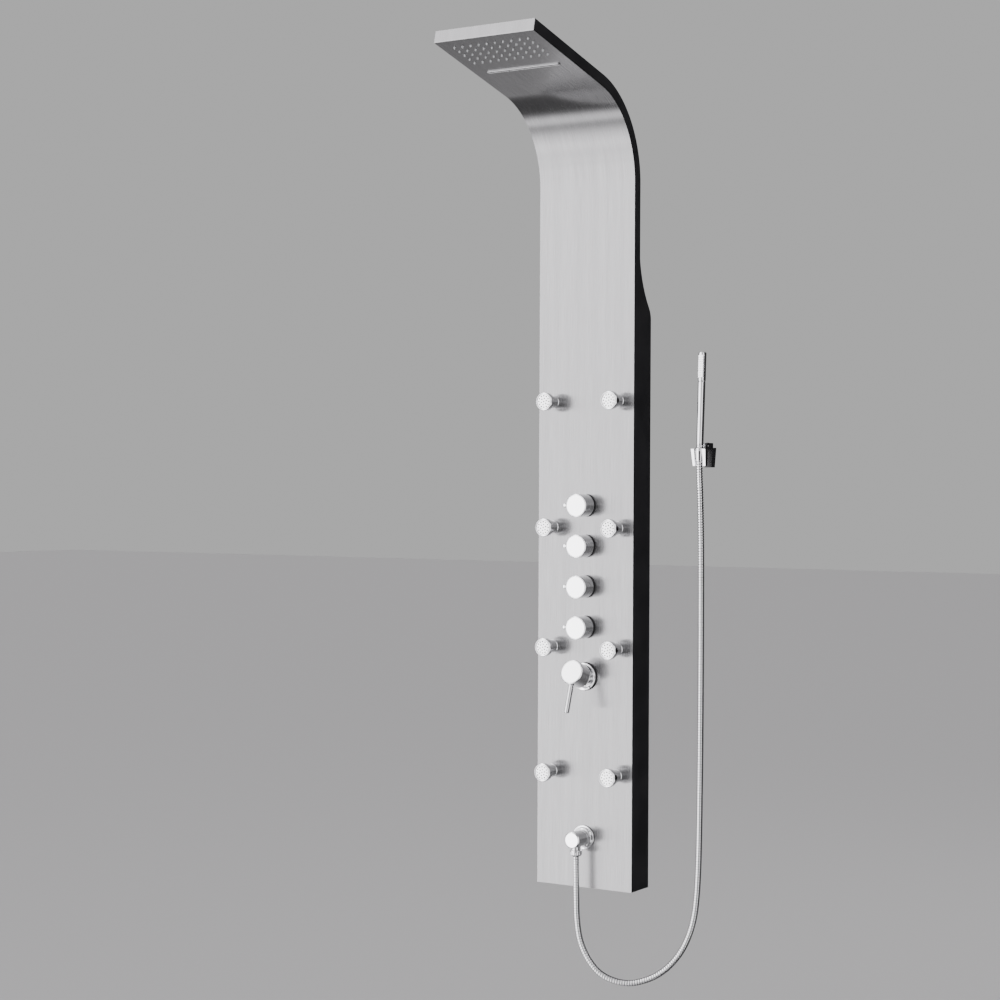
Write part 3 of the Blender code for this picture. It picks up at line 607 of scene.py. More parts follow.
FACE = patterned(  # pale plated plastic
    "moulded_spray_face",
    (0.90, 0.905, 0.91), 0.20, 0.80,
    pattern=((140, 140, 140), 3),
    tones=((0.87, 0.875, 0.88), (0.93, 0.935, 0.94)),
    sheen=(0.18, 0.30),
)
SILICONE = soft_rubber("pale_silicone", (0.72, 0.73, 0.74), 0.42)
GREY_RUBBER = soft_rubber("dark_grey_silicone", (0.035, 0.035, 0.037), 0.50)
BLACK_RUBBER = soft_rubber("black_rubber", (0.012, 0.012, 0.013), 0.55)
BRASS = patterned(  # sand-cast: uneven colour, grainy skin
    "cast_brass",
    (0.60, 0.42, 0.17), 0.42, 1.0,
    pattern=((35, 35, 35), 5),
    tones=((0.46, 0.31, 0.12), (0.70, 0.51, 0.23)),
    sheen=(0.34, 0.55),
    relief=(0.0002, 0.35),
    grain=((1100, 1100, 1100), 3),
)
ZINC = patterned(  # mottled, with faint rolling lines
    "zinc_plate",
    (0.50, 0.51, 0.53), 0.40, 1.0,
    pattern=((45, 45, 45), 6),
    tones=((0.42, 0.43, 0.45), (0.58, 0.59, 0.60)),
    sheen=(0.32, 0.50),
    relief=(0.00005, 0.3),
    grain=((8, 500, 500), 3),
)
HOSE = patterned(  # polished steel strip
    "hose_steel_strip",
    (0.90, 0.905, 0.91), 0.14, 1.0,
    pattern=((260, 260, 260), 4),
    tones=((0.86, 0.865, 0.87), (0.94, 0.945, 0.95)),
    sheen=(0.10, 0.20),
)
PAINTED_GROOVE_SHADE = patterned(  # painted shade: a dark material on the groove faces between the hose's ribs, standing in for the shade that falls there
    "hose_groove_painted_shade",
    (0.035, 0.035, 0.037), 0.55, 0.3,
    pattern=((500, 500, 500), 3),
    tones=((0.022, 0.022, 0.024), (0.050, 0.050, 0.052)),
    sheen=(0.45, 0.65),
)
PEX = patterned(  # pale, slightly waxy pipe
    "pex_pipe",
    (0.66, 0.68, 0.70), 0.42, 0.0,
    pattern=((30, 30, 8), 3),
    tones=((0.61, 0.63, 0.655), (0.71, 0.73, 0.745)),
    sheen=(0.36, 0.48),
    relief=(0.00005, 0.2),
    grain=((700, 700, 40), 2),
)


# ---- camera, light and floor
CAMERA_PLACE = Vector((2.0414, -3.6278, -0.2414))
CAMERA_TURN = math.radians(32.177)
CAMERA_PITCH = math.radians(-0.326)
CAMERA_ROLL = math.radians(0.266)
CAMERA_LENS = 75.64
SENSOR_WIDTH = 36
FLOOR_DROP = 0.60  # floor below the panel's lower edge
FLOOR_HALF = 30


def make_camera():
    data = bpy.data.cameras.new("camera")
    data.lens = CAMERA_LENS
    data.sensor_width = SENSOR_WIDTH
    camera = bpy.data.objects.new("camera", data)
    aim = Matrix.Rotation(CAMERA_TURN, 4, "Z") @ Matrix.Rotation(math.pi / 2 + CAMERA_PITCH, 4, "X")
    camera.matrix_world = Matrix.Translation(CAMERA_PLACE) @ aim @ Matrix.Rotation(CAMERA_ROLL, 4, "Z")
    bpy.context.scene.collection.objects.link(camera)
    bpy.context.scene.camera = camera


def softbox(name, position, target, width, height, power):
    data = bpy.data.lights.new(name, "AREA")
    data.shape = "RECTANGLE"
    data.size = width
    data.size_y = height
    data.energy = power
    light = bpy.data.objects.new(name, data)
    light.location = position
    light.rotation_euler = (Vector(target) - Vector(position)).to_track_quat("-Z", "Y").to_euler()
    light.visible_glossy = False
    bpy.context.scene.collection.objects.link(light)


def make_lights():
    middle = (0, -0.05, -0.25)
    softbox("key", (-2.4, -3.9, 0.9), middle, width=2.6, height=2.6, power=60)
    softbox("rear", (1.4, 3.4, 2.0), middle, width=2.5, height=1.6, power=40)


def math_step(tree, operation, first, second):
    """A Math node on two values, each a socket or a number."""
    return add_node(tree, "Math", {0: first, 1: second}, operation=operation).outputs["Value"]


def ramp_between(tree, value, low, high, stops):
    """A grey ramp over the value from low to high, with stops (value, grey)."""
    ranged = add_node(tree, "MapRange", {"Value": value, "From Min": low, "From Max": high})
    ramp = add_node(tree, "ValToRGB", {"Fac": ranged.outputs["Result"]})
    points = ramp.color_ramp.elements
    for k, (stop, grey) in enumerate(stops):
        place_on_ramp = (stop - low) / (high - low)
        point = points[0] if k == 0 else points[-1] if k == len(stops) - 1 else points.new(place_on_ramp)
        point.position = place_on_ramp
        point.color = (grey, grey, grey, 1)
    return ramp.outputs["Color"]


ROOM_GAIN = 2.8
BACKDROP = 0.48
FLOOR_TONE = 0.43
AROUND = (  # (degrees, brightness) round the X axis: 0 in front, 90 below, 180 at the wall, -90 above
    (-180, 0.03), (-120, 0.05), (-100, 0.30), (-88, 0.78), (-40, 0.78), (-28, 0.82), (-14, 1.00),
    (16, 1.00), (20, 0.90), (25, 0.95), (34, 0.85), (46, 0.97), (58, 0.70), (66, 0.42), (71, 0.22),
    (76, 0.22), (80, 0.64), (87, 0.58), (92, 0.13), (98, 0.04), (128, 0.03), (136, 0.04), (141, 0.12),
    (150, 0.12), (160, 0.03), (180, 0.03),
)
ACROSS = (  # (X direction, brightness)
    (-1.0, 0.85), (-0.80, 1.05), (-0.63, 1.15), (-0.58, 2.40), (-0.48, 2.40), (-0.42, 1.05),
    (-0.25, 0.95), (-0.05, 0.75), (0.10, 0.42), (0.24, 0.28), (0.36, 0.18), (0.60, 0.18), (0.70, 0.75),
    (0.88, 0.85), (0.93, 0.10), (1.0, 0.06),
)
RIGHT_SIDE = ((-1.0, 0.45), (-0.18, 0.50), (-0.11, 0.10), (-0.05, 0.10), (0.02, 1.0), (1.0, 0.9))  # by Z
RIGHT_SHARE = ((-1.0, 0), (-0.25, 0), (0.15, 1), (0.65, 1), (0.85, 0), (1.0, 0))  # how far it counts, by X
ROOM_COLOUR = (1.0, 0.98, 1.005, 1)


def make_world():
    """Soft light in front, above and below, with its brightest strip at the left. The wall side and the far
    right are dark, and a dark gap lies just below the horizon at the right."""
    world = bpy.data.worlds.new("studio")
    bpy.context.scene.world = world
    world.use_nodes = True
    tree = world.node_tree
    tree.nodes.clear()
    direction = add_node(tree, "TexCoord").outputs["Generated"]
    x, y, z = add_node(tree, "SeparateXYZ", {"Vector": direction}).outputs
    down = math_step(tree, "MULTIPLY", z, -1.0)
    ahead = math_step(tree, "MULTIPLY", y, -1.0)
    around = math_step(tree, "MULTIPLY", math_step(tree, "ARCTAN2", down, ahead), 180 / math.pi)
    light = ramp_between(tree, around, -180, 180, AROUND)
    across = ramp_between(tree, x, -1.0, 1.0, ACROSS)
    loss = math_step(tree, "SUBTRACT", 1.0, ramp_between(tree, z, -1.0, 1.0, RIGHT_SIDE))
    at_right = ramp_between(tree, x, -1.0, 1.0, RIGHT_SHARE)
    kept = math_step(tree, "SUBTRACT", 1.0, math_step(tree, "MULTIPLY", at_right, loss))
    strength = math_step(tree, "MULTIPLY", math_step(tree, "MULTIPLY", light, across), kept)
    gain = math_step(tree, "MULTIPLY", strength, ROOM_GAIN)
    room = add_node(tree, "Background", {"Strength": gain, "Color": ROOM_COLOUR}).outputs["Background"]
    grey = (BACKDROP, BACKDROP, BACKDROP, 1)
    backdrop = add_node(tree, "Background", {"Color": grey}).outputs["Background"]
    seen = add_node(tree, "LightPath").outputs["Is Camera Ray"]
    mix = add_node(tree, "MixShader", {"Fac": seen, 1: room, 2: backdrop})
    add_node(tree, "OutputWorld", {"Surface": mix.outputs["Shader"]})


def make_floor():
    bm = bmesh.new()
    low = Matrix.Translation((0, 0, LOWER_EDGE - FLOOR_DROP))
    bmesh.ops.create_grid(bm, x_segments=1, y_segments=1, size=FLOOR_HALF, matrix=low)
    material, _, _ = plain_material("pale_floor", (FLOOR_TONE, FLOOR_TONE, FLOOR_TONE), 0.6, 0.0)
    floor = new_piece("floor", bm, material)
    floor.visible_glossy = False


make_camera()
make_lights()
make_world()
make_floor()


# ---- the hose
def ribbed_line(line, shape, pitch, scale=1.0):
    """Points along the line and a radius at each, so that the tube has a rib at each pitch."""
    total = line_length(line)
    count = max(1, round(total / pitch))
    stops = [(rib + part) / count for rib in range(count) for part, _ in shape]
    radii = [radius * scale for _ in range(count) for _, radius in shape]
    places = []
    index = 0
    passed = 0.0
    for stop in stops:
        target = stop * total
        while index < len(line) - 2 and passed + (line[index + 1] - line[index]).length < target:
            passed += (line[index + 1] - line[index]).length
            index += 1
        step = line[index + 1] - line[index]
        places.append(line[index] + step * ((target - passed) / step.length))
    return [*places, line[-1]], [*radii, shape[0][1] * scale]


def ribbed_tube(name, line, scale=1.0):
    """The hose's tube along the line, with painted shade (a dark material) on the groove before each bright
    rib.
    """
    places, radii = ribbed_line(line, RIB_SHAPE, RIB_PITCH, scale)
    tube = tube_piece(name, places, radii, HOSE, HOSE_SIDES)
    # the groove faces take the dark material that paints the shade between the ribs
    tube.data.materials.append(PAINTED_GROOVE_SHADE)
    for polygon in tube.data.polygons:
        if polygon.index // HOSE_SIDES % len(RIB_SHAPE) == 0:
            polygon.material_index = 1
    return tube


def hose_nut():
    """The fluted nut under the outlet."""
    start = OUTLET_HEIGHT - 0.0208
    corners = [
        (0, start), (0.0110, start, 0.0004), (0.0118, start - 0.0015, 0.0004), (0.0118, start - 0.0022),
        (0.0112, start - 0.0026), (0.0112, start - 0.0032), (0.0118, start - 0.0036),
        (0.0118, start - 0.0086, 0.0008), (0.0084, start - 0.0116, 0.0004), (0, start - 0.0116),
    ]
    below_elbow = Matrix.Translation((0, FRONT - HOSE_REACH, LOWER_EDGE))
    nut = turned("hose_nut", rounded(corners, 3), CHROME, below_elbow, 96)
    for vertex in nut.data.vertices:
        radius = vertex.co.xy.length
        if start - 0.0090 < vertex.co.z < start - 0.0034 and radius > 0.0114:
            angle = math.atan2(vertex.co.y, vertex.co.x)
            depth = FLUTE_DEPTH * max(0.0, math.cos(NUT_FLUTES * angle)) ** 2
            vertex.co.xy *= (radius - depth) / radius
    return place(nut, "column", "chrome", "outlet_nut")


def hose_cone():
    """The conical nut that seats in the holder, with grip grooves above its taper."""
    grooves = []
    for k in range(4):
        z = 0.0165 - 0.0012 * k
        grooves += [(0.0092, z), (0.0088, z - 0.0003), (0.0088, z - 0.0006), (0.0092, z - 0.0009)]
    corners = [
        (0, 0.0228), (0.0065, 0.0228, 0.0003), (0.0072, 0.0190, 0.0010), (0.0091, 0.0172, 0.0006),
        *grooves, (0.0092, 0.0115, 0.0008), (0.0073, -0.0065, 0.0008), (0.0069, -0.0083, 0.0004),
        (0, -0.0083),
    ]
    return fitting("hose_cone_nut", corners, 3, CHROME, wand_frame(), 64, "hose_end", "chrome", "hose_cone")


def make_hose():
    """The free hose, and the end of it that slides up out of its ribs with the hand shower."""
    route = [(x, y, up(height)) for x, y, height in HOSE_ROUTE]
    line = smooth_line(route)
    nut = hose_nut()
    cone = hose_cone()
    hose = ribbed_tube("shower_hose_ribbed", line)
    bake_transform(hose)
    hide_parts("shower_hose")
    tail = [p for p in line if p.z > line[-1].z - TAIL_LENGTH]
    place(ribbed_tube("shower_hose_end", tail, TAIL_SCALE), "hose_end", "hose_steel")


make_hose()


# ---- casing
def nozzle_places():
    for row in range(NOZZLE_ROWS):
        for column in range(NOZZLE_COLUMNS):
            x = (column - (NOZZLE_COLUMNS - 1) / 2) * NOZZLE_PITCH
            yield x, NOZZLE_START + row * NOZZLE_PITCH


def slot_outline(beyond, half_width, steps=8):
    """The waterfall slot with round ends, (x, y) in the head's frame, reaching beyond the slit's ends."""
    half_length = SLOT_HALF + beyond
    ends = ((half_length - half_width, -90), (half_width - half_length, 90))
    line = []
    for x, start in ends:
        line += arc((x, SLOT_CENTRE), half_width, math.radians(start), math.radians(start + 180), steps)
    return line


def slot_solid(name, beyond, half_width, low, high, material):
    outline = slot_outline(beyond, half_width)
    return extruded(name, [[(x, y, z) for x, y in outline] for z in (low, high)], material, head_frame())


def front_sheet():
    """The brushed sheet: flat front, neck, head and the lip folded up at its end."""
    outside = slab_line(0)
    inside = slab_line(SHEET, trim=SHEET)
    along = Vector((-math.cos(HEAD_RISE), math.sin(HEAD_RISE)))
    rise = Vector((math.sin(HEAD_RISE), math.cos(HEAD_RISE)))
    tip = Vector(outside[-1])
    centre = tip - along * LIP_FOLD + rise * LIP_FOLD
    steps = 6
    outer_fold = []
    inner_fold = []
    for k in range(steps + 1):
        angle = math.pi / 2 * k / steps
        spoke = along * math.sin(angle) - rise * math.cos(angle)
        outer_fold.append(tuple(centre + spoke * LIP_FOLD))
        inner_fold.append(tuple(centre + spoke * (LIP_FOLD - SHEET)))
    top = tip + rise * SLAB
    outside = [*outside[:-1], *outer_fold, tuple(top)]
    inside = [*inside[:-1], *inner_fold, tuple(top - along * SHEET)]
    sheet = between_lines("front_sheet", outside, inside, -HALF, HALF, STEEL)
    head = head_frame()
    nozzles = [((x, y, CUT_LOW), (x, y, CUT_HIGH)) for x, y in nozzle_places()]
    cutters = [
        rods_piece("nozzle_cut", nozzles, NOZZLE_HOLE, STEEL, 24, head),
        slot_solid("slot_cut", MOUTH_WALL + MOUTH_ROOM, MOUTH_HALF + MOUTH_ROOM, CUT_LOW, CUT_HIGH, STEEL),
    ]
    openings = [(pivot, JET_OPENING) for name, pivot in JOINT_PLACE.items() if name.startswith("jet_")]
    openings += [(pivot, KNOB_OPENING) for name, pivot in JOINT_PLACE.items() if name.startswith("knob_")]
    openings.append((Vector((0, 0, up(MIXER_HEIGHT))), MIXER_OPENING))
    openings.append((Vector((0, 0, up(OUTLET_HEIGHT))), OUTLET_OPENING))
    for k, (centre, radius) in enumerate(openings):
        ends = [((centre.x, FRONT - 0.005, centre.z), (centre.x, FRONT + 0.006, centre.z))]
        cutters.append(rods_piece(f"opening_{k}", ends, radius, STEEL, 32))
    use_tools(sheet, cutters)
    place(soften(sheet, 0.0004), "column", "brushed_steel", "front_panel")


def side_cheek(name, low_x):
    """One side of the slab, from the lower edge round the neck to the lip."""
    front = slab_line(SHEET + GAP, trim=SHEET + GAP)
    back = slab_line(SLAB, trim=SHEET + GAP)
    plate = between_lines(f"{name}_cheek", front, back, low_x, low_x + SHEET, COAT)
    place(soften(plate, 0.0004), "column", "charcoal_shell", name)


def back_skin():
    edge = HALF - SHEET - GAP
    start = BOX_TOP - BOX_LAP
    front = slab_line(SLAB - SHEET, start=start, trim=SHEET + GAP)
    back = slab_line(SLAB, start=start, trim=SHEET + GAP)
    skin = between_lines("back_skin", front, back, -edge, edge, COAT)
    place(soften(skin, 0.0003), "column", "charcoal_shell", "back_cover")


def rear_housing():
    """The box on the wall: folded edges outside, a flange round the open back inside."""
    edge = HALF - BOX_INSET
    seam = SLAB_BACK + GAP
    flare = flare_line()
    outline = [(seam, up(0)), (0, up(0)), *flare[:-1], (seam, up(BOX_TOP) - 0.010)]
    box = prism("rear_housing", outline, edge, COAT)
    inner = flare_line(SHEET)
    hollow = [(seam - 0.01, up(-0.01)), (-SHEET, up(-0.01)), *inner[:-1], (seam - 0.01, up(BOX_TOP) - 0.022)]
    inside = prism("housing_hollow", hollow, edge - SHEET, COAT)
    low = (BACK_FLANGE - edge, -0.006, up(BACK_FLANGE))
    opening = box_piece("housing_opening", low, (edge - BACK_FLANGE, 0.006, flare[0][1] - BACK_FLANGE), COAT)
    use_tools(box, [inside, opening])
    place(soften(box, 0.0007, 3, 40), "column", "charcoal_shell", "rear_box")


front_sheet()
side_cheek("side_plate_left", -HALF)
side_cheek("side_plate_right", HALF - SHEET)
back_skin()
rear_housing()


# ---- rain head
def rain_nozzles():
    """Fifty soft cones, each with a bore, on a mat behind the sheet."""
    cone = [
        (0, -0.0006), (0.0006, -0.0006), (0.0006, -0.0030), (0.0014, -0.0030, 0.0003),
        (0.0018, -0.0008, 0.0008), (0.0025, 0.0006, 0.0006), (0.0025, 0.0020), (0, 0.0020),
    ]
    copies = [Matrix.Translation((x, y, 0)) for x, y in nozzle_places()]
    nozzles = turned("rain_nozzles", rounded(cone, 3), SILICONE, head_frame(), 20, copies)
    place(nozzles, "column", "silicone", "nozzle_mat")
    low = (-MAT_HALF, NOZZLE_START - HEAD_MARGIN, SHEET + GAP)
    high = (MAT_HALF, NOZZLE_START + (NOZZLE_ROWS - 1) * NOZZLE_PITCH + HEAD_MARGIN, 0.0045)
    mat = box_piece("nozzle_mat_sheet", low, high, SILICONE, head_frame())
    place(soften(mat, 0.0006), "column", "silicone")


def waterfall_mouth():
    """A rim with round ends that stands below the sheet, and the slit in it."""
    rim = slot_solid("waterfall_mouth", MOUTH_WALL, MOUTH_HALF, -0.0020, 0.0050, BLASTED)
    low = (-MOUTH_BODY_HALF, SLOT_CENTRE - HEAD_MARGIN, SHEET + GAP)
    high = (MOUTH_BODY_HALF, SLOT_CENTRE + HEAD_MARGIN, 0.0102)
    body = box_piece("waterfall_body", low, high, BLASTED, head_frame())
    slit = slot_solid("waterfall_slit", 0.0, MOUTH_HALF - MOUTH_WALL, -0.0060, 0.0085, BLASTED)
    use_tools(rim, [slit], [body])
    place(soften(rim, 0.0004), "column", "chrome", "waterfall_spout")


def refine_node(name, material, width):
    """A node of the frame that keeps its shape: rounded edges and a finished material."""
    node = frame["nodes"][name]
    node.data.materials.clear()
    node.data.materials.append(material)
    weld = node.modifiers.new("weld", "WELD")
    weld.merge_threshold = NODE_WELD
    round_edges(node, width)
    node.data.shade_smooth()
    node.modifiers.new("weighted normals", "WEIGHTED_NORMAL")


rain_nozzles()
waterfall_mouth()
refine_node("rain_chamber", ZINC, 0.0006)


# ---- swivel jets
def ring_places(radius, count, turn=0.0):
    angles = [turn + 2 * math.pi * k / count for k in range(count)]
    return [(radius * math.cos(a), radius * math.sin(a)) for a in angles]


def jet(name, centre):
    """The fixed neck, the swivel disc on its ball, and the spray face with its nozzles."""
    neck = [
        (0, -0.0100), (0.0095, -0.0100), (0.0095, 0.0010), (0.0100, 0.0030), (0.0121, 0.0030, 0.0005),
        (0.0130, 0.0024, 0.0006), (0.0130, -0.0150), (0.0124, -0.0156), (0.0124, -0.0164),
        (0.0130, -0.0170), (0.0130, -0.0202), (0.0092, -0.0202), (0.0092, -0.0305), (0, -0.0305),
    ]
    pivot = facing_user(centre.x, centre.z, centre.y)
    fitting(f"neck_{name}", neck, 4, CHROME, pivot, 48, "column", "chrome", f"jet_collar_{name[4:]}")
    ball = ball_line(JET_BALL, JET_BALL_START, math.pi, 12)[:-1]
    disc = [
        (0, JET_FACE - 0.0014), (0.0150, JET_FACE - 0.0014), (0.0154, JET_FACE - 0.0003, 0.0004),
        (0.0168, JET_FACE, 0.0006), (0.0180, JET_FACE - 0.0014, 0.0010),
        (0.0180, JET_FACE - 0.0098, 0.0010), (0.0168, JET_FACE - 0.0110, 0.0005), *ball, (0, -JET_BALL),
    ]
    fitting(f"disc_{name}", disc, 4, CHROME, pivot, 64, name, "chrome", f"jet_head_{name[4:]}")
    plate = [
        (0, JET_FACE - 0.0004), (0.0140, JET_FACE - 0.0006, 0.0010), (0.0148, JET_FACE - 0.0010, 0.0003),
        (0.0148, JET_FACE - 0.0013), (0, JET_FACE - 0.0013),
    ]
    fitting(f"face_{name}", plate, 3, FACE, pivot, 48, name, "spray_plate")
    nub = [
        (0, JET_FACE - 0.0008), (0.0005, JET_FACE - 0.0008), (0.0005, JET_FACE - 0.0001),
        (0.0013, JET_FACE - 0.0001, 0.0002), (0.0016, JET_FACE - 0.0009), (0, JET_FACE - 0.0009),
    ]
    spots = [*ring_places(0.0112, OUTER_NOZZLES), *ring_places(0.0060, INNER_NOZZLES, 0.3), (0, 0)]
    copies = [Matrix.Translation((x, y, 0)) for x, y in spots]
    nozzles = turned(f"nozzles_{name}", rounded(nub, 2), GREY_RUBBER, pivot, 12, copies)
    place(nozzles, name, "silicone")


for jet_body, jet_place in JOINT_PLACE.items():
    if jet_body.startswith("jet_"):
        jet(jet_body, jet_place)


# ---- diverter knobs
def gasket(name, bore, shoulder, edge, arc_steps, matrix):
    """A black ring on the sheet, its shoulder and edge as (radius, z, rounding)."""
    foot = (bore, GASKET_FOOT)
    corners = [foot, (bore, shoulder[1]), shoulder, edge, (edge[0], GASKET_FOOT), foot]
    fitting(name, corners, arc_steps, BLACK_RUBBER, matrix, 64, "column", "silicone")


def knob(number):
    """A black washer on the sheet, the barrel with a short pin, and its turned face."""
    body = f"knob_{number}"
    centre = JOINT_PLACE[body]
    on_sheet = facing_user(centre.x, centre.z)
    gasket(f"washer_{body}", 0.0135, (0.0214, 0.0048, 0.0004), (0.0219, 0.0042, 0.0003), 3, on_sheet)
    barrel = [
        (0, KNOB_REACH - 0.0008), (0.0208, KNOB_REACH - 0.0008), (0.0211, KNOB_REACH - 0.0002, 0.0002),
        (0.0216, KNOB_REACH, 0.0003), (0.0225, KNOB_REACH - 0.0009, 0.0006), (0.0225, 0.0060, 0.0004),
        (0.0218, 0.0052, 0.0003), (0.0120, 0.0052), (0.0120, 0.0030), (0.0080, 0.0030),
        (0.0080, -0.0045), (0, -0.0045),
    ]
    fitting(body + "_barrel", barrel, 4, CHROME, on_sheet, 96, body, "chrome", body)
    cap = [
        (0, KNOB_REACH - 0.0001), (0.0202, KNOB_REACH - 0.0001, 0.0006), (0.0207, KNOB_REACH - 0.0007),
        (0, KNOB_REACH - 0.0007),
    ]
    fitting(body + "_face", cap, 3, SATIN, on_sheet, 96, body, "chrome")
    pin = [
        (0, PIN_REACH), (0.0028, PIN_REACH, 0.0010), (0.0040, PIN_REACH - 0.0018, 0.0012),
        (0.0040, PIN_REACH - 0.0050, 0.0004), (0.0030, PIN_REACH - 0.0058), (0.0030, PIN_REACH - 0.0072),
        (0.0040, PIN_REACH - 0.0080, 0.0004), (0.0040, 0.0215), (0, 0.0215),
    ]
    seat = Matrix.Translation((centre.x, FRONT - PIN_DEPTH, centre.z))
    leftward = seat @ Matrix.Rotation(-math.pi / 2, 4, "Y")
    fitting(body + "_pin", pin, 3, CHROME, leftward, 32, body, "chrome")


for knob_number in range(1, KNOBS + 1):
    knob(knob_number)


# ---- mixer
def mixer():
    height = up(MIXER_HEIGHT)
    on_sheet = facing_user(0, height)
    gasket("mixer_gasket", 0.0150, (0.0268, 0.0040, 0.0004), (0.0278, 0.0032, 0.0004), 3, on_sheet)
    ring = [
        (0.0150, 0.0041), (0.0135, 0.0041), (0.0135, 0.0046), (0.0190, 0.0048, 0.0003),
        (0.0212, 0.0060, 0.0008), (0.0240, 0.0065, 0.0008), (0.0266, 0.0058, 0.0005),
        (0.0270, 0.0048, 0.0003), (0.0264, 0.0041), (0.0150, 0.0041),
    ]
    fitting("mixer_ring", ring, 4, CHROME, on_sheet, 96, "column", "chrome", "mixer_flange")
    ball = [*ball_line(MIXER_BALL, 0, MIXER_BALL_END, 24), (0.0122, -0.0138), (0, -0.0138)]
    on_pivot = facing_user(0, height, JOINT_PLACE["mixer_handle"].y)
    place(turned("mixer_ball", ball, CHROME, on_pivot, 64), "mixer_stem", "chrome", "mixer_stem")
    barrel = [
        (0, 0.0387), (MIXER_RADIUS - 0.0020, 0.0387), (MIXER_RADIUS - 0.0017, 0.0393, 0.0002),
        (MIXER_RADIUS - 0.0012, 0.0395, 0.0003), (MIXER_RADIUS, 0.0383, 0.0008), (MIXER_RADIUS, 0.0075),
        (MIXER_RADIUS - 0.0004, 0.0071), (MIXER_RADIUS - 0.0004, 0.0065), (MIXER_RADIUS, 0.0061),
        (MIXER_RADIUS, 0.0052, 0.0004), (MIXER_RADIUS - 0.0007, 0.0045, 0.0003), (0.0180, 0.0045),
        (0.0180, 0.0200), (0, 0.0200),
    ]
    handle = mixer_frame()
    fitting("mixer_handle_barrel", barrel, 4, CHROME, handle, 96, "mixer_handle", "chrome", "mixer_handle")
    edge = MIXER_RADIUS - 0.0021
    cap = [(0, 0.0394), (edge - 0.0004, 0.0394, 0.0006), (edge, 0.0388), (0, 0.0388)]
    fitting("mixer_handle_face", cap, 3, SATIN, handle, 96, "mixer_handle", "chrome")
    rod = [
        (0, 0.0800), (0.0036, 0.0800, 0.0010), (0.0050, 0.0785, 0.0012), (0.0050, MIXER_RADIUS + 0.0032),
        (0.0045, MIXER_RADIUS + 0.0026), (0.0045, MIXER_RADIUS + 0.0018),
        (0.0060, MIXER_RADIUS + 0.0013, 0.0003), (0.0060, MIXER_RADIUS + 0.0003, 0.0003),
        (0, MIXER_RADIUS + 0.0003),
    ]
    downward = handle @ Matrix.Translation((0, 0, LEVER_DEPTH)) @ Matrix.Rotation(math.pi / 2, 4, "X")
    fitting("mixer_lever_rod", rod, 4, CHROME, downward, 40, "mixer_handle", "chrome", "mixer_lever")


mixer()


# ---- hose outlet
def outlet():
    height = up(OUTLET_HEIGHT)
    on_sheet = facing_user(0, height)
    gasket("outlet_gasket", 0.0110, (0.0226, 0.0012, 0.0002), (0.0231, 0.0008, 0.0002), 2, on_sheet)
    dome = [
        (0.0105, 0.0014), (0.0105, 0.0078), (0.0160, 0.0078, 0.0010), (0.0186, 0.0064, 0.0030),
        (0.0206, 0.0034, 0.0003), (0.0206, 0.0026), (0.0211, 0.0026), (0.0214, 0.0036, 0.0003),
        (0.0225, 0.0036, 0.0005), (0.0232, 0.0028, 0.0004), (0.0232, 0.0014, 0.0002), (0.0105, 0.0014),
    ]
    fitting("outlet_dome", dome, 5, CHROME, on_sheet, 96, "column", "chrome", "outlet_rosette")
    barrel = [
        (0, OUTLET_REACH), (0.0140, OUTLET_REACH, 0.0010), (0.0162, OUTLET_REACH - 0.0020, 0.0012),
        (0.0162, 0.0115), (0.0157, 0.0110), (0.0157, 0.0103), (0.0162, 0.0098), (0.0162, 0.0083),
        (0.0096, 0.0083), (0.0096, -0.0120), (0, -0.0120),
    ]
    elbow = turned("outlet_barrel", rounded(barrel, 4), CHROME, on_sheet, 72)
    apply_modifiers(elbow)
    y = FRONT - HOSE_REACH
    spigot = rods_piece("spigot", [((0, y, height), (0, y, height - 0.0205))], 0.0092, CHROME, 48)
    use_tools(elbow, (), [spigot])
    place(soften(elbow, 0.0003, 2, 50), "column", "chrome", "outlet_elbow")


outlet()


# ---- hand shower and its holder
def hand_shower():
    wand = wand_frame()
    handle = [
        (0, 0.1445), (0.0066, 0.1445, 0.0003), (0.0071, 0.1432, 0.0008), (0.0069, 0.0900),
        (0.0066, 0.0262, 0.0010), (0.0062, 0.0231, 0.0004), (0, 0.0231),
    ]
    fitting("hand_shower_handle", handle, 5, CHROME, wand, 56, "handset", "chrome", "wand_handle")
    head = [
        (0, 0.2005), (0.0064, 0.2005, 0.0006), (0.0074, 0.1994, 0.0008), (0.0074, 0.1464, 0.0008),
        (0.0068, 0.1448, 0.0003), (0, 0.1448),
    ]
    top = turned("hand_shower_head", rounded(head, 5), CHROME, wand, 56)
    apply_modifiers(top)
    flat = box_piece("flat", (-0.02, -0.02, 0.1520), (0.02, -0.0045, 0.1950), CHROME, wand)
    use_tools(top, [flat])
    place(soften(top, 0.0003, 2, 50), "handset", "chrome", "wand_head")
    plate = box_piece("hand_shower_plate", (-0.0052, -0.0066, 0.1524), (0.0052, -0.0048, 0.1946), FACE, wand)
    place(soften(plate, 0.0006, 3), "handset", "spray_plate", "wand_face")
    nub = [(0, 0.0005), (0.0003, 0.0005), (0.0003, 0.0011), (0.0005, 0.0011), (0.0008, 0.0001), (0, 0.0001)]
    turn = Matrix.Rotation(math.pi / 2, 4, "X")
    copies = []
    for row in range(9):
        for x in (-0.0031, 0.0, 0.0031):
            copies.append(Matrix.Translation((x, -0.0060, 0.1565 + 0.00425 * row)) @ turn)
    place(turned("hand_shower_nozzles", nub, GREY_RUBBER, wand, 10, copies), "handset", "silicone")


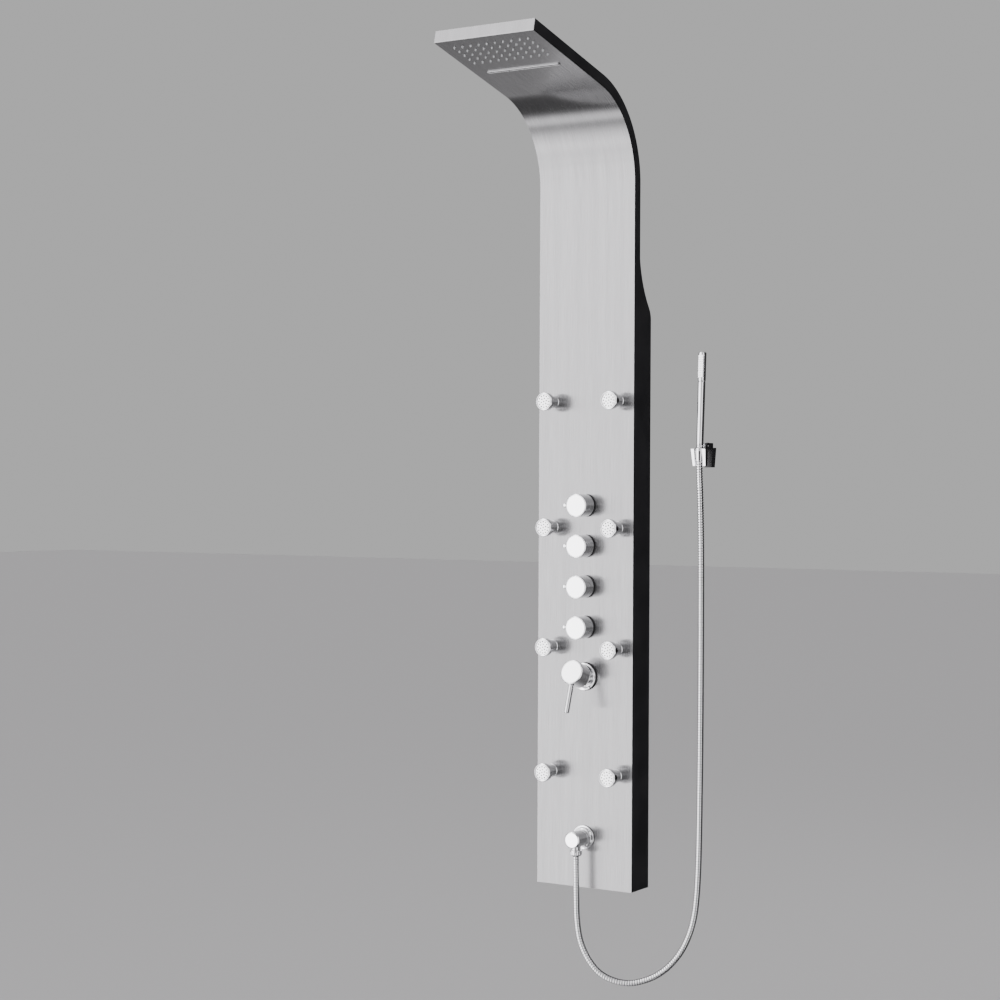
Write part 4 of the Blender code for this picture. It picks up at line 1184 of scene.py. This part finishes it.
def holder():
    """Dark wall block with its fork, a bright cross pin, and the prongs round the seat of the hose nut."""
    pivot = JOINT_PLACE["cradle"]
    x = pivot.x
    z = pivot.z
    middle = JOINT_PLACE["handset"].z
    corners = []
    for height, half in ((middle - 0.0185, 0.0090), (middle + 0.0190, 0.0120)):
        for y, inset in ((0, 0), (-0.0120, 0.0015)):
            corners += [(x + side * (half - inset), y, height) for side in (-1, 1)]
    base = hull_piece("holder_base", corners, COAT)
    fork = rod_across("fork", pivot, FORK_OUTER, EAR_RADIUS, COAT, 48)
    low = (x - FORK_OUTER, pivot.y, z - EAR_RADIUS)
    yoke = box_piece("yoke", low, (x + FORK_OUTER, -0.0060, z + 0.0060), COAT)
    low = (x - FORK_INNER, -0.04, z - 0.02)
    gap = box_piece("fork_gap", low, (x + FORK_INNER, pivot.y + 0.0078, z + 0.02), COAT)
    bore = rod_across("fork_bore", pivot, 0.02, PIN_BORE, COAT, 32)
    use_tools(base, [gap, bore], [fork, yoke])
    place(soften(base, 0.0008, 3, 40), "column", "charcoal_shell", "bracket_base")
    pin = [
        (0, 0.0094), (0.0014, 0.0093), (0.0022, 0.0088, 0.0004), (0.0024, 0.0083), (0.0024, -0.0083),
        (0.0022, -0.0088, 0.0004), (0.0014, -0.0093), (0, -0.0094),
    ]
    across = Matrix.Translation(pivot) @ Matrix.Rotation(math.pi / 2, 4, "Y")
    fitting("holder_pin", pin, 3, CHROME, across, 32, "column", "chrome", "bracket_pin")
    wand = wand_frame()
    seat = wand.inverted() @ pivot
    middle_of_seat = Vector((0, seat.y, seat.z))
    corners = []
    for height, half, front in ((0.0158, 0.0150, -0.0080), (-0.0162, 0.0131, -0.0013)):
        for side in (-1, 1):
            outline = ((half, front), (half, 0.0060), (0.0085, 0.0125))
            corners += [(side * reach, y, height) for reach, y in outline]
    prongs = hull_piece("holder_prongs", corners, CHROME, wand)
    lug = rod_across("lug", middle_of_seat, 0.0040, 0.0060, CHROME, 40, wand)
    web = box_piece("web", (-0.0036, 0.0115, 0.0100), (0.0036, seat.y, seat.z + 0.0050), CHROME, wand)
    mouth = box_piece("mouth", (-0.0086, -0.03, -0.03), (0.0086, 0.0005, 0.03), CHROME, wand)
    taper = [(0, 0.0200), (0.0104, 0.0200), (0.0078, -0.0200), (0, -0.0200)]
    inside = turned("seat", taper, CHROME, wand, 96)
    apply_modifiers(inside)
    eye = rod_across("eye", middle_of_seat, 0.02, PIN_BORE, CHROME, 32, wand)
    use_tools(prongs, [mouth, inside, eye], [lug, web])
    place(soften(prongs, 0.0005, 3, 40), "cradle", "chrome", "bracket_cradle")


hand_shower()
holder()


# ---- behind the front
def crimp(name, position, axis, radius):
    """A crimped ring round a pipe's end."""
    ring = [
        (radius + 0.0002, -0.0045), (radius + 0.0014, -0.0045, 0.0004),
        (radius + 0.0014, -0.0012, 0.0003), (radius + 0.0008, 0.0, 0.0006),
        (radius + 0.0014, 0.0012, 0.0003), (radius + 0.0014, 0.0045, 0.0004), (radius + 0.0002, 0.0045),
        (radius + 0.0002, -0.0045),
    ]
    fitting(name, ring, 2, BRASS, Matrix.Translation(position) @ turned_to(axis), 32, "column", "brass")


def riser(name, x, depth, trim, radius):
    """A pipe from the manifold up through the neck to the rain chamber or the waterfall."""
    start_y = FRONT + RISER_DEPTH
    foot = [(x, start_y, up(0.7753)), (x, start_y, up(0.8000)), (x, FRONT + depth, up(0.8700))]
    route = [(x, y, z) for y, z in slab_line(depth, start=0.9500, trim=trim, steps=14)]
    line = [Vector(p) for p in [*foot, *route]]
    pipe = tube_piece(f"{name}_pipe", line, [radius] * len(line), PEX, 20)
    place(pipe, "column", "pipe_plastic", name)
    crimp(f"{name}_crimp", (x, start_y, up(0.7820)), (0, 0, 1), radius)


def jet_pipe(name, side):
    """The pipe behind one column of jets, fed from the manifold."""
    y = FRONT + JET_PIPE_DEPTH
    x = side * abs(JOINT_PLACE["jet_left_1"].x)
    feed = up(FEED_HEIGHT)
    pipe = rods_piece(f"{name}_run", [((x, y, up(0.2050)), (x, y, up(0.9660)))], JET_PIPE_RADIUS, PEX, 32)
    branch = rods_piece(f"{name}_feed", [((side * 0.0173, y, feed), (x, y, feed))], FEED_RADIUS, PEX, 32)
    use_tools(pipe, (), [branch])
    place(soften(pipe, 0.0006, 2, 50), "column", "pipe_plastic", name)
    crimp(f"{name}_crimp", (side * 0.0260, y, feed), (1, 0, 0), FEED_RADIUS)
    for end in (0.2120, 0.9590):
        crimp(f"{name}_cap_{round(end * 1000)}", (x, y, up(end)), (0, 0, 1), JET_PIPE_RADIUS)


def supply_hose(name, side):
    """A braided hose from the mixer's side port to the wall, with a ferrule above and a nut at the wall."""
    y = FRONT + VALVE_DEPTH
    z = up(MIXER_HEIGHT)
    x = side * 0.0400
    route = (
        (x, y, z - 0.0098), (x, y, z - 0.0450), (side * 0.0440, y, z - 0.1000),
        (side * 0.0500, y, z - 0.1700), (side * SUPPLY_X, y + 0.0020, z - 0.2250),
        (side * SUPPLY_X, y + 0.0120, z - 0.2500), (side * SUPPLY_X, -0.0200, z - SUPPLY_DROP),
        (side * SUPPLY_X, -0.0010, z - SUPPLY_DROP),
    )
    line = smooth_line(route)
    places, radii = ribbed_line(line, ((0.0, 0.0057), (0.5, 0.0060)), 0.0016)
    place(tube_piece(f"{name}_braid", places, radii, HOSE, 20), "column", "hose_steel", name)
    ferrule = [
        (0.0061, 0.0), (0.0072, 0.0, 0.0003), (0.0072, 0.0120, 0.0004), (0.0061, 0.0120), (0.0061, 0.0),
    ]
    at_top = Matrix.Translation((x, y, z - 0.0240))
    fitting(f"{name}_ferrule", ferrule, 2, CHROME, at_top, 32, "column", "hose_steel")
    at_wall = facing_user(side * SUPPLY_X, z - SUPPLY_DROP, -0.0075)
    bm = bmesh.new()
    bmesh.ops.create_cone(bm, cap_ends=True, segments=6, radius1=0.0115, radius2=0.0115, depth=0.0110)
    nut = new_piece(f"{name}_nut", bm, CHROME, at_wall)
    place(soften(nut, 0.0008, 3), "column", "hose_steel")


def water_ways():
    refine_node("manifold", BRASS, 0.0015)
    height = up(MIXER_HEIGHT)
    body = [
        (0, 0.0002), (0.0160, 0.0002), (0.0160, -0.0070), (0.0215, -0.0070, 0.0008),
        (0.0225, -0.0085, 0.0008), (0.0225, -0.0385, 0.0010), (0.0205, -0.0400, 0.0008), (0, -0.0400),
    ]
    valve = turned("mixer_cartridge_body", rounded(body, 4), BRASS, facing_user(0, height), 64)
    apply_modifiers(valve)
    ports = rod_across("ports", Vector((0, FRONT + VALVE_DEPTH, height)), 0.0480, 0.0095, BRASS, 40)
    use_tools(valve, (), [ports])
    place(soften(valve, 0.0006, 2, 45), "column", "brass", "mixer_valve")
    neck = [
        (0, -0.0050), (0.0085, -0.0050), (0.0085, 0.0020), (0.0120, 0.0020, 0.0003),
        (0.0130, 0.0012, 0.0003), (0.0130, -0.0080), (0, -0.0080),
    ]
    for number in range(1, KNOBS + 1):
        seat = facing_user(0, JOINT_PLACE[f"knob_{number}"].z)
        node = f"diverter_valve_{number}"
        fitting(f"diverter_neck_{number}", neck, 3, BRASS, seat, 48, "column", "brass", node)
    riser("riser_rain", -0.0100, 0.0155, 0.1143, 0.0045)
    riser("riser_waterfall", 0.0100, 0.0062, SLOT_CENTRE + 0.0103, 0.0040)
    for side, name in ((-1, "left"), (1, "right")):
        jet_pipe(f"jet_pipe_{name}", side)
    supply_hose("inlet_hose_hot", -1)
    supply_hose("inlet_hose_cold", 1)


def hanging_parts():
    for where in ("upper", "lower"):
        refine_node(f"wall_bracket_{where}", ZINC, 0.0004)
        refine_node(f"hang_rail_{where}", ZINC, 0.0004)
    refine_node("bottom_cap", COAT, 0.0004)


water_ways()
hanging_parts()
